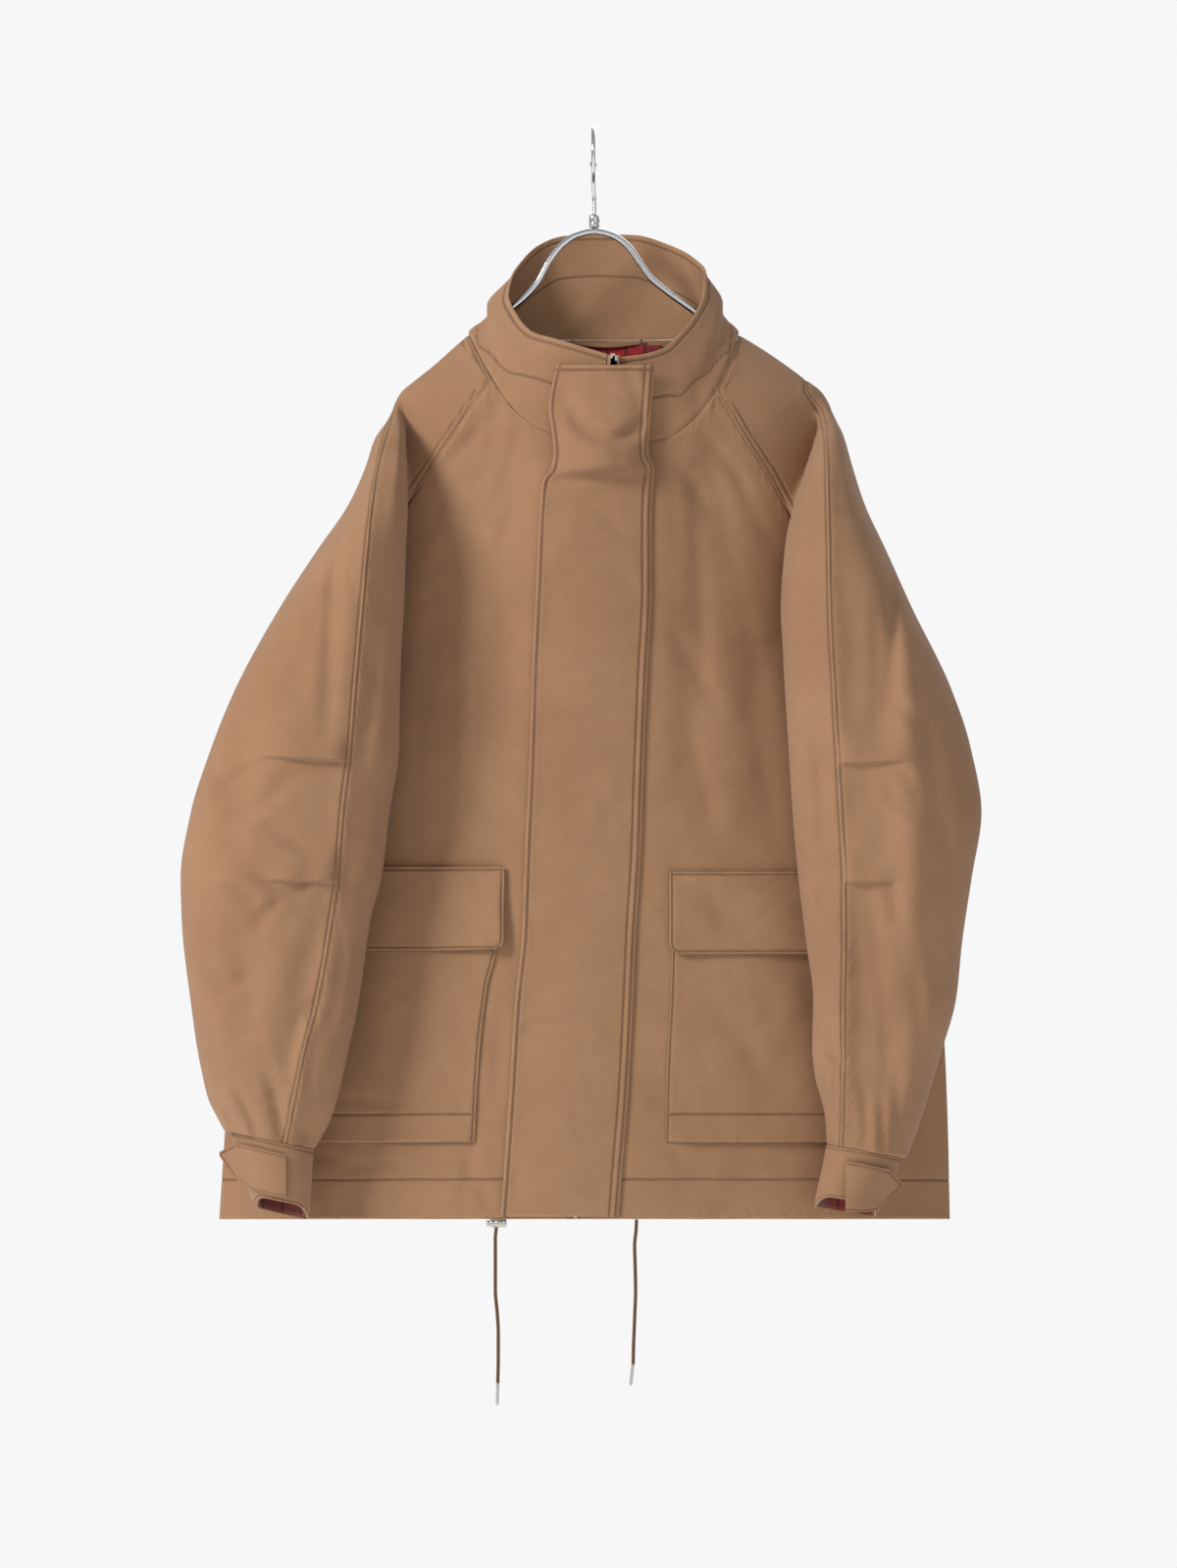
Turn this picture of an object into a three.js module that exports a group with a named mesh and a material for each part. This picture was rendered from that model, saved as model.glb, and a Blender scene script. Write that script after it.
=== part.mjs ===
// Field jacket on a wire hanger, in millimetres with +Z up. The front faces -Y.
// The origin is where the hook bears on a rail. "right" and "left" are the wearer's, and right is at -X.
//
// Tables hold positions on the picture's grid (x to the right, z down, both in grid units) and
// depths in millimetres. place() turns a table position into a point.
import * as THREE from "three";

// Driving dimensions
const MM_PER_UNIT = 0.86;
const HOOK = { x: 605, z: 133 };
const VIEW_CENTRE = { x: 600, z: 799.5 };
const VIEW_DISTANCE = 3000; // nearer parts look larger by their depth over this
const WALL = 2.2;
const LINING_WALL = 1.0;
const SEAM_GAP = 0.44; // along grid lines, so about 0.3 square to a slanting seam
const STEEPEST_SLANT = 0.33; // of a grid line against an edge, as a sine
const SEAM_BEVEL = 1.2; // how much wider the gap is on the inside
const FOLDED_BACK = 0.02;
const ARMPIT_EASE = { reach: 24, gap: 5 }; // the seams stand open a little where four meet
const EDGE_TUCK = 2; // how far the cloth runs in behind a sleeve's inner edge
const FOLD_OVER = 40; // a sleeve laps over its front seam by this before it lies quite flat
const LIFT = 0.6; // between a panel and what is sewn on it
const ARMPIT = 620;
const LEVEL_START = 650;
const HEM = 1243;
const ZIP_HALF = 7;
const BAR_DIAMETER = 6;
const HOOK_WIRE = 3.5;
const CORD_DIAMETER = 3;
const AGLET_DIAMETER = 2.6;

// Colours
const CLOTH = new THREE.MeshStandardMaterial({ color: 0xa88062, roughness: 0.92, metalness: 0 });
const PLAID = new THREE.MeshStandardMaterial({ color: 0x7c2f2a, roughness: 0.95, metalness: 0 });
const CHROME = new THREE.MeshStandardMaterial({ color: 0xc9cdd0, roughness: 0.18, metalness: 1 });
const METAL = new THREE.MeshStandardMaterial({ color: 0xb9b9b5, roughness: 0.35, metalness: 1 });
const CORD = new THREE.MeshStandardMaterial({ color: 0x7d5a40, roughness: 0.9, metalness: 0 });

// The body's cross-section at each height: its sides, how deep the front and back stand, and how
// thin it runs out to the sides (a larger edge is thinner).
const BODY = [
  { z: 341, right: 477, left: 754, front: 46, back: 44, edge: 0.71 },
  { z: 355, right: 461, left: 777, front: 50, back: 45, edge: 0.71 },
  { z: 372, right: 442, left: 802, front: 54, back: 46, edge: 0.71 },
  { z: 388, right: 422, left: 823, front: 58, back: 47, edge: 0.72 },
  { z: 400, right: 408, left: 838, front: 61, back: 48, edge: 0.73 },
  { z: 415, right: 401, left: 846, front: 64, back: 48, edge: 0.75 },
  { z: 440, right: 396, left: 848, front: 68, back: 49, edge: 0.73 },
  { z: 475, right: 390, left: 846, front: 70, back: 50, edge: 0.73 },
  { z: 515, right: 383, left: 843, front: 71, back: 51, edge: 0.73 },
  { z: 560, right: 374, left: 843, front: 72, back: 52, edge: 0.73 },
  { z: 620, right: 360, left: 846, front: 72, back: 52, edge: 0.72 },
  { z: 655, right: 357, left: 849, front: 72, back: 52, edge: 0.74 },
  { z: 700, right: 330, left: 876, front: 70, back: 52, edge: 0.80 },
  { z: 800, right: 282, left: 924, front: 68, back: 51, edge: 0.85 },
  { z: 900, right: 255, left: 950, front: 67, back: 50, edge: 0.84 },
  { z: 1054, right: 236, left: 963, front: 65, back: 48, edge: 0.80 },
  { z: 1150, right: 229, left: 967, front: 64, back: 46, edge: 0.78 },
  { z: 1243, right: 223, left: 969, front: 62, back: 44, edge: 0.75 },
];

// The collar from its right end, round the back, to its left end: seam, rim, rim depth, bulge.
const COLLAR = [
  { seamX: 614.7, seamZ: 453, rimX: 619, rimZ: 361, rimY: -74, bulge: 1 },
  { seamX: 588, seamZ: 450, rimX: 593, rimZ: 353, rimY: -70, bulge: 2 },
  { seamX: 556, seamZ: 440, rimX: 566, rimZ: 345, rimY: -62, bulge: 4 },
  { seamX: 524, seamZ: 418, rimX: 543, rimZ: 338, rimY: -50, bulge: 5 },
  { seamX: 501, seamZ: 386, rimX: 526, rimZ: 320, rimY: -33, bulge: 4 },
  { seamX: 487, seamZ: 361, rimX: 517, rimZ: 299, rimY: -14, bulge: 3 },
  { seamX: 477, seamZ: 341, rimX: 521, rimZ: 281, rimY: 4, bulge: 2 },
  { seamX: 499, seamZ: 344, rimX: 531, rimZ: 266, rimY: 20, bulge: 2 },
  { seamX: 530, seamZ: 346, rimX: 547, rimZ: 251, rimY: 34, bulge: 2 },
  { seamX: 568, seamZ: 347, rimX: 574, rimZ: 241, rimY: 45, bulge: 2 },
  { seamX: 610, seamZ: 347, rimX: 610, rimZ: 239, rimY: 49, bulge: 2 },
  { seamX: 650, seamZ: 347, rimX: 648, rimZ: 240, rimY: 45, bulge: 2 },
  { seamX: 690, seamZ: 346, rimX: 681, rimZ: 249, rimY: 34, bulge: 3 },
  { seamX: 724, seamZ: 343, rimX: 707, rimZ: 262, rimY: 19, bulge: 1 },
  { seamX: 754, seamZ: 341, rimX: 720, rimZ: 277, rimY: 3, bulge: 0 },
  { seamX: 745, seamZ: 363, rimX: 719, rimZ: 297, rimY: -16, bulge: 1 },
  { seamX: 730, seamZ: 398, rimX: 709, rimZ: 320, rimY: -35, bulge: 3 },
  { seamX: 707, seamZ: 428, rimX: 693, rimZ: 340, rimY: -50, bulge: 5 },
  { seamX: 685, seamZ: 444, rimX: 678, rimZ: 354, rimY: -61, bulge: 3 },
  { seamX: 660, seamZ: 451, rimX: 656, rimZ: 361, rimY: -70, bulge: 2 },
  { seamX: 628.7, seamZ: 454, rimX: 633, rimZ: 364, rimY: -74, bulge: 1 },
];
const COLLAR_JOIN = {
  frontRight: 4, ridgeRight: 6, backRight: 8, backLeft: 12, ridgeLeft: 14, frontLeft: 16, end: 20,
};

// The raglan seams from the collar to the armpit.
const RAGLAN = {
  right: {
    front: [
      { z: 386, x: 501 }, { z: 425, x: 475 }, { z: 475, x: 441 }, { z: 515, x: 416 },
      { z: 560, x: 389 }, { z: 595, x: 370 }, { z: ARMPIT, x: 360 },
    ],
    back: [
      { z: 346, x: 530 }, { z: 380, x: 512 }, { z: 425, x: 487 }, { z: 475, x: 458 },
      { z: 515, x: 431 }, { z: 560, x: 400 }, { z: 595, x: 373 }, { z: ARMPIT, x: 360 },
    ],
  },
  left: {
    front: [
      { z: 398, x: 730 }, { z: 450, x: 762 }, { z: 481, x: 782 }, { z: 529, x: 807 },
      { z: 565, x: 825 }, { z: 595, x: 839 }, { z: ARMPIT, x: 846 },
    ],
    back: [
      { z: 346, x: 690 }, { z: 380, x: 706 }, { z: 425, x: 731 }, { z: 475, x: 760 },
      { z: 515, x: 786 }, { z: 560, x: 812 }, { z: 595, x: 834 }, { z: ARMPIT, x: 846 },
    ],
  },
};

// Each sleeve: its inner edge, overarm seam and outer edge, its centre's depth and half-depth, and
// the corner where its back leaves the body.
const SLEEVE = {
  right: [
    { z: 400, inner: 411, seam: 403, outer: 404, centre: -9, half: 9, backX: 412, backY: 12 },
    { z: 425, inner: 413, seam: 397, outer: 395, centre: -22, half: 24, backX: 405, backY: 14 },
    { z: 450, inner: 414, seam: 390, outer: 381, centre: -32, half: 36, backX: 398, backY: 10 },
    { z: 475, inner: 415, seam: 384, outer: 373, centre: -41, half: 46, backX: 394, backY: 9 },
    { z: 515, inner: 416, seam: 378, outer: 355, centre: -53, half: 56, backX: 382, backY: 8 },
    { z: 560, inner: 414, seam: 374, outer: 324, centre: -64, half: 60, backX: 355, backY: 0 },
    { z: 620, inner: 412, seam: 369, outer: 285, centre: -75, half: 58, backX: 322, backY: -22 },
    { z: 700, inner: 408, seam: 362, outer: 241, centre: -83, half: 54 },
    { z: 763, inner: 407, seam: 357, outer: 215, centre: -87, half: 50 },
    { z: 830, inner: 397, seam: 349, outer: 194, centre: -88, half: 47 },
    { z: 895, inner: 389, seam: 344, outer: 184, centre: -88, half: 45 },
    { z: 937, inner: 378, seam: 338, outer: 185, centre: -87, half: 44 },
    { z: 1020, inner: 366, seam: 323, outer: 194, centre: -84, half: 42 },
    { z: 1095, inner: 349, seam: 304, outer: 205, centre: -79, half: 38 },
    { z: 1130, inner: 338, seam: 297, outer: 212, centre: -76, half: 35 },
    { z: 1164, inner: 320, seam: 290, outer: 229, centre: -73, half: 30 },
  ],
  left: [
    { z: 400, inner: 836, seam: 822, outer: 840, centre: -9, half: 9, backX: 834, backY: 12 },
    { z: 425, inner: 836, seam: 838, outer: 853, centre: -21, half: 23, backX: 843, backY: 13 },
    { z: 450, inner: 830, seam: 842, outer: 862, centre: -32, half: 36, backX: 849, backY: 10 },
    { z: 475, inner: 822, seam: 843, outer: 869, centre: -42, half: 46, backX: 851, backY: 9 },
    { z: 515, inner: 809, seam: 844, outer: 882, centre: -54, half: 57, backX: 856, backY: 8 },
    { z: 560, inner: 800, seam: 845, outer: 903, centre: -65, half: 61, backX: 868, backY: 0 },
    { z: 620, inner: 796, seam: 846, outer: 930, centre: -76, half: 58, backX: 886, backY: -22 },
    { z: 700, inner: 800, seam: 850, outer: 969, centre: -84, half: 54 },
    { z: 763, inner: 804, seam: 853, outer: 990, centre: -88, half: 50 },
    { z: 828, inner: 808, seam: 857, outer: 1001, centre: -89, half: 47 },
    { z: 895, inner: 814, seam: 860, outer: 991, centre: -89, half: 45 },
    { z: 962, inner: 822, seam: 861, outer: 981, centre: -87, half: 44 },
    { z: 1018, inner: 829, seam: 860, outer: 975, centre: -84, half: 42 },
    { z: 1069, inner: 828, seam: 860, outer: 961, centre: -81, half: 39 },
    { z: 1100, inner: 831, seam: 859, outer: 951, centre: -78, half: 37 },
    { z: 1143, inner: 841, seam: 858, outer: 936, centre: -75, half: 34 },
    { z: 1174, inner: 843, seam: 857, outer: 924, centre: -73, half: 30 },
  ],
};
const TIP = { from: 398, to: 445 }; // where the shoulder's oval turns into the hanging sleeve
const TUBE = { from: ARMPIT, to: 680 }; // where the sleeve closes into a tube
// The underarm seam's place round the sleeve, in degrees from its inner edge
const UNDERARM = [{ z: ARMPIT, angle: -75 }, { z: 730, angle: -35 }];

// Cuffs: ring sections from the sleeve's end down to the cuff's mouth.
const CUFF = {
  right: { slope: 0.2, rows: [
    { z: 1164, inner: 320, outer: 235, centre: -73, half: 28 },
    { z: 1186, inner: 319, outer: 241, centre: -73, half: 27 },
    { z: 1214, inner: 317, outer: 251, centre: -72, half: 25 },
    { z: 1236, inner: 315, outer: 261, centre: -71, half: 23 },
  ] },
  left: { slope: 0.17, rows: [
    { z: 1174, inner: 842, outer: 918, centre: -73, half: 28 },
    { z: 1196, inner: 838, outer: 912, centre: -73, half: 27 },
    { z: 1220, inner: 833, outer: 901, centre: -72, half: 25 },
    { z: 1239, inner: 830, outer: 893, centre: -71, half: 23 },
  ] },
};

// The pointed tabs on the cuffs, from the sewn end to the tip.
const CUFF_TAB = {
  right: [
    { x: 292, top: 1178, bottom: 1222 }, { x: 274, top: 1174, bottom: 1219 },
    { x: 257, top: 1170, bottom: 1214 }, { x: 240, top: 1166, bottom: 1203 },
    { x: 223, top: 1175, bottom: 1179 },
  ],
  left: [
    { x: 862, top: 1184, bottom: 1236 }, { x: 878, top: 1187, bottom: 1237 },
    { x: 894, top: 1190, bottom: 1235 }, { x: 908, top: 1193, bottom: 1222 },
    { x: 920, top: 1206, bottom: 1210 },
  ],
};

// How far a tab's middle stands off its cuff
const TAB_STAND = { right: 1.5, left: 2.5 };

// The storm flap's edges from the collar's rim to the hem, and how far it bulges there.
const FLAP = [
  { z: 372, x0: 567, x1: 668, bulge: 0 },
  { z: 388, x0: 563, x1: 667, bulge: 0 },
  { z: 416, x0: 559, x1: 665, bulge: 2 },
  { z: 440, x0: 562, x1: 663, bulge: 5 },
  { z: 462, x0: 564, x1: 662, bulge: 8 },
  { z: 478, x0: 561, x1: 668, bulge: 11 },
  { z: 490, x0: 553, x1: 667, bulge: 5 },
  { z: 504, x0: 551, x1: 666, bulge: 1 },
  { z: 529, x0: 549, x1: 665, bulge: 0 },
  { z: 600, x0: 546, x1: 665, bulge: 0 },
  { z: 684, x0: 542, x1: 661, bulge: 1 },
  { z: 780, x0: 539, x1: 657, bulge: 0 },
  { z: 869, x0: 535, x1: 654, bulge: 1 },
  { z: 951, x0: 532, x1: 649, bulge: 0 },
  { z: 1019, x0: 525, x1: 646, bulge: 1 },
  { z: 1115, x0: 519, x1: 641, bulge: 0 },
  { z: 1201, x0: 513, x1: 634, bulge: 1 },
  { z: 1241, x0: 510, x1: 631, bulge: 0 },
];

// Patch pockets and pocket flaps by height: inner edge (towards the closure) and outer edge.
const POCKET = {
  right: [
    { z: 900, inner: 510, outer: 306 }, { z: 973, inner: 505, outer: 300 },
    { z: 1006, inner: 497, outer: 297 },
    { z: 1086, inner: 488, outer: 290 }, { z: 1165, inner: 484, outer: 284 },
  ],
  left: [
    { z: 903, inner: 687, outer: 892 }, { z: 975, inner: 685, outer: 896 },
    { z: 1010, inner: 684, outer: 898 },
    { z: 1090, inner: 680, outer: 904 }, { z: 1168, inner: 678, outer: 910 },
  ],
};
const POCKET_FLAP = {
  right: { inner: 514, outer: 302, top: 884, bottom: 969 },
  left: { inner: 683, outer: 896, top: 889, bottom: 973 },
};
const FOLD_FREE = 72; // the fronts lie smooth this near the closure's line
const FLAP_CORNER = 12;
const POCKET_FLAP_LIFT = 3.6;

// Folds of the cloth: from one end to the other, half-width, and how deep (towards the wearer).
const BODY_FOLDS = [
  { x0: 500, z0: 430, x1: 455, z1: 640, width: 26, depth: 7 },
  { x0: 520, z0: 500, x1: 500, z1: 800, width: 28, depth: 6 },
  { x0: 470, z0: 620, x1: 440, z1: 860, width: 26, depth: 4 },
  { x0: 722, z0: 450, x1: 745, z1: 620, width: 26, depth: 7 },
  { x0: 700, z0: 560, x1: 712, z1: 820, width: 28, depth: 5 },
  { x0: 770, z0: 620, x1: 775, z1: 860, width: 26, depth: 4 },
];
const SLEEVE_FOLDS = [
  { x0: 330, z0: 590, x1: 270, z1: 745, width: 22, depth: 8 },
  { x0: 250, z0: 700, x1: 235, z1: 860, width: 20, depth: 7 },
  { x0: 250, z0: 930, x1: 245, z1: 1100, width: 20, depth: 6 },
  { x0: 330, z0: 930, x1: 290, z1: 1110, width: 18, depth: 5 },
  { x0: 925, z0: 660, x1: 930, z1: 960, width: 18, depth: -9 },
  { x0: 895, z0: 640, x1: 893, z1: 760, width: 18, depth: 6 },
  { x0: 880, z0: 930, x1: 885, z1: 1120, width: 18, depth: 7 },
  { x0: 925, z0: 990, x1: 905, z1: 1130, width: 18, depth: 6 },
];

// Elbow tucks: the folded line, from the seam outwards. The cloth above stands over it.
const TUCKS = [
  { x0: 355, z0: 775, x1: 279, z1: 771, rise: 7, reach: 26 },
  { x0: 345, z0: 898, x1: 281, z1: 897, rise: 7, reach: 26 },
  { x0: 853, z0: 778, x1: 916, z1: 775, rise: 7, reach: 26 },
  { x0: 860, z0: 899, x1: 908, z1: 897, rise: 7, reach: 26 },
];

// Heights of the cross rows
const BODY_LEVELS = [650, 700, 760, 830, 900, 970, 1040, 1110, 1165, 1202, HEM];
const SLEEVE_LEVELS = [
  650, 700, 738, 757, 771, 776, 800, 850, 880, 893, 899, 920, 970, 1020, 1070, 1110, 1140,
];
const RAGLAN_STEPS = 6;
// Rows above the levels, crowded towards the top where the crowding is over 1
const BODY_TOP = { topRows: 6, crowding: 1 };
const SLEEVE_TOP = { topRows: 9, crowding: 1.2 };

// The hanger's bar, its hook and the drawcords, as points on the grid
const BAR_PATH = [
  [434.4, 387.3], [446.6, 377.4], [465.6, 360.4], [481.7, 346.4], [504, 327.5], [534, 304],
  [548, 288], [559, 268], [573, 250], [588, 240], [606, 236], [624, 240], [639, 250], [651, 266],
  [664, 284], [681, 298], [706, 316], [728, 332], [750.4, 347.1], [773.3, 361.2], [795, 377],
  [806, 387.5],
];
const FERRULE = { top: 219, bottom: 232, diameter: 9 };
const HOOK_RADIUS = 22.75;
const CORDS = {
  right: {
    y: -60,
    path: [
      [506, 1252], [505, 1263], [505, 1287], [505, 1316], [507, 1340], [508, 1359], [508, 1385],
      [507.5, 1410],
    ],
  },
  left: {
    y: -60,
    path: [
      [649, 1243.7], [648.5, 1254], [647, 1270], [647.5, 1290], [648, 1315], [647, 1345],
      [646, 1370], [645.5, 1391],
    ],
  },
};
const AGLETS = {
  right: [[507.5, 1410.5], [507, 1433]],
  left: [[645.4, 1391.5], [643, 1413]],
};

const FORWARD = [0, -1, 0];
const BACKWARD = [0, 1, 0];

// The cord lock at the right cord's top
const LOCK = { x: 508, z: 1247.5, diameter: 7, length: 14, button: 5, travel: 3 };

// Curves through table columns
function smooth(knots, values) {
  const slopes = knots.map(() => 0);
  const rise = [];
  for (let i = 0; i + 1 < knots.length; i += 1) {
    rise.push((values[i + 1] - values[i]) / Math.max(knots[i + 1] - knots[i], 1e-9));
  }
  slopes[0] = rise[0];
  slopes[knots.length - 1] = rise[rise.length - 1];
  for (let i = 1; i + 1 < knots.length; i += 1) {
    const same = rise[i - 1] * rise[i] > 0;
    slopes[i] = same ? (2 * rise[i - 1] * rise[i]) / (rise[i - 1] + rise[i]) : 0;
  }
  return (at) => {
    if (at <= knots[0]) return values[0];
    if (at >= knots[knots.length - 1]) return values[values.length - 1];
    let i = 0;
    while (at > knots[i + 1]) i += 1;
    const h = knots[i + 1] - knots[i];
    const t = (at - knots[i]) / h;
    const keep = (1 + 2 * t) * (1 - t) * (1 - t);
    const next = t * t * (3 - 2 * t);
    return keep * values[i] + next * values[i + 1]
      + h * t * (1 - t) * ((1 - t) * slopes[i] - t * slopes[i + 1]);
  };
}

function column(rows, name, by = "z") {
  const kept = rows.filter((row) => row[name] !== undefined);
  return smooth(kept.map((row) => row[by]), kept.map((row) => row[name]));
}

function columns(rows, by = "z") {
  const made = {};
  for (const name of Object.keys(rows[0])) {
    if (name !== by) made[name] = column(rows, name, by);
  }
  return made;
}

function ramp(from, to, at) {
  const t = Math.min(Math.max((at - from) / (to - from), 0), 1);
  return t * t * (3 - 2 * t);
}

function mix(a, b, t) {
  return a + (b - a) * t;
}

// A table position and depth as a point in millimetres
function place([x, y, z]) {
  const shrink = (VIEW_DISTANCE + y) / VIEW_DISTANCE;
  const seenX = VIEW_CENTRE.x + (x - VIEW_CENTRE.x) * shrink;
  const seenZ = VIEW_CENTRE.z + (z - VIEW_CENTRE.z) * shrink;
  return new THREE.Vector3((seenX - HOOK.x) * MM_PER_UNIT, y, -(seenZ - HOOK.z) * MM_PER_UNIT);
}

// How far a point lies in the folds and tucks
function along(fold, x, z) {
  const dx = fold.x1 - fold.x0;
  const dz = fold.z1 - fold.z0;
  const length = Math.hypot(dx, dz);
  const t = ((x - fold.x0) * dx + (z - fold.z0) * dz) / (length * length);
  const off = ((x - fold.x0) * dz - (z - fold.z0) * dx) / length;
  return { t, off };
}

function foldDepth(folds, x, z) {
  let depth = 0;
  for (const fold of folds) {
    const { t, off } = along(fold, x, z);
    const ends = ramp(-0.25, 0.3, t) * ramp(1.25, 0.7, t);
    depth += fold.depth * ends * Math.exp(-((off / fold.width) ** 2));
  }
  return depth;
}

function tuckRise(x, z) {
  let rise = 0;
  for (const tuck of TUCKS) {
    const t = (x - tuck.x0) / (tuck.x1 - tuck.x0);
    if (t < -0.05 || t > 1.3) continue;
    const line = mix(tuck.z0, tuck.z1, t);
    const above = (line - z) / tuck.reach;
    const shape = above >= 0 ? Math.exp(-above * above) : Math.max(1 + above * 5, 0);
    rise += tuck.rise * shape * ramp(-0.05, 0.2, t) * ramp(1.3, 0.7, t);
  }
  return rise;
}

const underarm = column(UNDERARM, "angle");

// The line of the closure
function closureX(z) {
  return mix(626, 585, (z - 361) / (HEM - 361));
}

// The body's front and back surfaces
const body = columns(BODY);

function bodyAt(z) {
  const right = body.right(z);
  const left = body.left(z);
  return {
    mid: (right + left) / 2,
    half: (left - right) / 2,
    front: body.front(z),
    back: body.back(z),
    edge: body.edge(z),
  };
}

function oval(u, edge) {
  return Math.max(1 - u * u, 0) ** edge;
}

function frontY(x, z) {
  const { mid, half, front, edge } = bodyAt(z);
  const shape = oval((x - mid) / half, edge);
  const beside = ramp(FOLD_FREE, FOLD_FREE + 35, Math.abs(x - closureX(z)));
  return -front * shape + foldDepth(BODY_FOLDS, x, z) * shape * beside;
}

function backY(x, z) {
  const { mid, half, back, edge } = bodyAt(z);
  return back * oval((x - mid) / half, edge);
}

function frontPoint(x, z) {
  return [x, frontY(x, z), z];
}

function backPoint(x, z) {
  return [x, backY(x, z), z];
}

// The collar's seam and surface by position along its table
const collarKeys = COLLAR.map((row, i) => ({ ...row, i }));
const collarAt = columns(collarKeys, "i");

function collarSeam(t) {
  const onBack = t > COLLAR_JOIN.ridgeRight && t < COLLAR_JOIN.ridgeLeft;
  const x = collarAt.seamX(t);
  const z = collarAt.seamZ(t);
  return onBack ? backPoint(x, z) : frontPoint(x, z);
}

function collarPoint(t, up) {
  const [x, y, z] = collarSeam(t);
  const lean = 0.5 * ramp(0, 0.35, up) + 0.5 * ramp(0.5, 1, up);
  const rise = Math.sin(Math.PI * up) * collarAt.bulge(t);
  const outX = (x - 614) / 138;
  const outY = y / 60;
  const reach = Math.hypot(outX, outY) || 1;
  return [
    mix(x, collarAt.rimX(t), lean) + (rise * outX) / reach / MM_PER_UNIT,
    mix(y, collarAt.rimY(t), up) + (rise * outY) / reach,
    mix(z, collarAt.rimZ(t), up),
  ];
}

// Samples of the seams between the collar, the fronts, the sleeves and the back
function collarSamples(from, to) {
  const steps = Math.abs(to - from) * 2;
  const list = [];
  for (let i = 0; i <= steps; i += 1) {
    const [x, , z] = collarSeam(mix(from, to, i / steps));
    list.push({ x, z });
  }
  return list;
}

function raglanSamples(rows) {
  const at = column(rows, "x");
  const list = [];
  for (let i = 0; i <= RAGLAN_STEPS; i += 1) {
    const z = mix(rows[0].z, ARMPIT, 1 - (1 - i / RAGLAN_STEPS) ** 1.6); // closer at the armpit
    list.push({ x: at(z), z });
  }
  return list;
}

// A line that gives x by height, straight between the samples
function lineByHeight(samples) {
  return (z) => {
    let i = 0;
    while (i + 2 < samples.length && z > samples[i + 1].z) i += 1;
    const t = (z - samples[i].z) / Math.max(samples[i + 1].z - samples[i].z, 1e-9);
    return mix(samples[i].x, samples[i + 1].x, Math.min(Math.max(t, 0), 1));
  };
}

function indexByHeight(samples) {
  return (z) => {
    let i = 0;
    while (i + 2 < samples.length && z > samples[i + 1].z) i += 1;
    const t = (z - samples[i].z) / Math.max(samples[i + 1].z - samples[i].z, 1e-9);
    return i + Math.min(Math.max(t, 0), 1);
  };
}

// Solids from grids of points

// Gives grid rows of points for columns that each start at their own height.
function columnGrid(list, levels, { topRows, crowding }) {
  const rows = [];
  for (let i = 0; i < topRows; i += 1) {
    const share = (i / topRows) ** crowding;
    rows.push(list.map((one) => place(one.at(mix(one.top, LEVEL_START, share)))));
  }
  for (const level of levels) {
    rows.push(list.map((one) => place(one.at(level))));
  }
  return rows;
}

// Each point's normal is the mean of its faces' normals.
function gridNormals(rows, closed) {
  const n = rows[0].length;
  const faces = rows.slice(1).map((row, i) => row.map((_, j) => {
    const after = (j + 1) % n;
    const one = new THREE.Vector3().subVectors(row[after], rows[i][j]);
    const other = new THREE.Vector3().subVectors(row[j], rows[i][after]);
    return one.cross(other).normalize();
  }));
  return rows.map((row, i) => row.map((_, j) => {
    const sum = new THREE.Vector3();
    for (const line of [faces[i - 1], faces[i]]) {
      if (!line) continue;
      if (closed || j > 0) sum.add(line[(j + n - 1) % n]);
      if (closed || j < n - 1) sum.add(line[j]);
    }
    return sum.normalize();
  }));
}

// Whether the grid's own normals (1) or their opposites (-1) point to the outside, given as a
// direction at the grid's middle.
function facingOf(rows, outside, closed) {
  const i = Math.floor(rows.length / 2);
  const j = Math.floor(rows[0].length / 2);
  return gridNormals(rows, closed)[i][j].dot(new THREE.Vector3(...outside)) > 0 ? 1 : -1;
}

function outwardNormals(rows, facing, closed) {
  return gridNormals(rows, closed).map((row) => row.map((normal) => normal.multiplyScalar(facing)));
}

// Four seams meet at each armpit, and their corners are cut back more.
const armpits = ["right", "left"].map((side) => place([body[side](ARMPIT), 0, ARMPIT]));

function nearness(corner, point) {
  return Math.exp(-((corner.distanceTo(point) / ARMPIT_EASE.reach) ** 2));
}

// Moves the points of one line of a grid along that line, so that its ends stand back by two gaps.
function drawnIn(line, first, last) {
  const run = [0];
  for (let k = 1; k < line.length; k += 1) run.push(run[k - 1] + line[k].distanceTo(line[k - 1]));
  const total = run[run.length - 1];
  if (total < 1e-6) return line.map((point) => point.clone());
  return run.map((at) => {
    const goal = first + at * (1 - (first + last) / total);
    let k = 1;
    while (k < line.length - 1 && run[k] < goal) k += 1;
    const span = run[k] - run[k - 1];
    return line[k - 1].clone().lerp(line[k], span > 1e-9 ? (goal - run[k - 1]) / span : 1);
  });
}

// How far an edge's point moves along its grid line so that the edge moves back by the gap
function setBack(point, next, edgeFrom, edgeTo, gap) {
  const way = new THREE.Vector3().subVectors(next, point).normalize();
  const edge = new THREE.Vector3().subVectors(edgeTo, edgeFrom).normalize();
  const slant = Math.max(Math.sqrt(Math.max(1 - way.dot(edge) ** 2, 0)), STEEPEST_SLANT);
  const ease = ARMPIT_EASE.gap * Math.max(...armpits.map((corner) => nearness(corner, point)));
  return gap / slant + ease;
}

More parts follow.
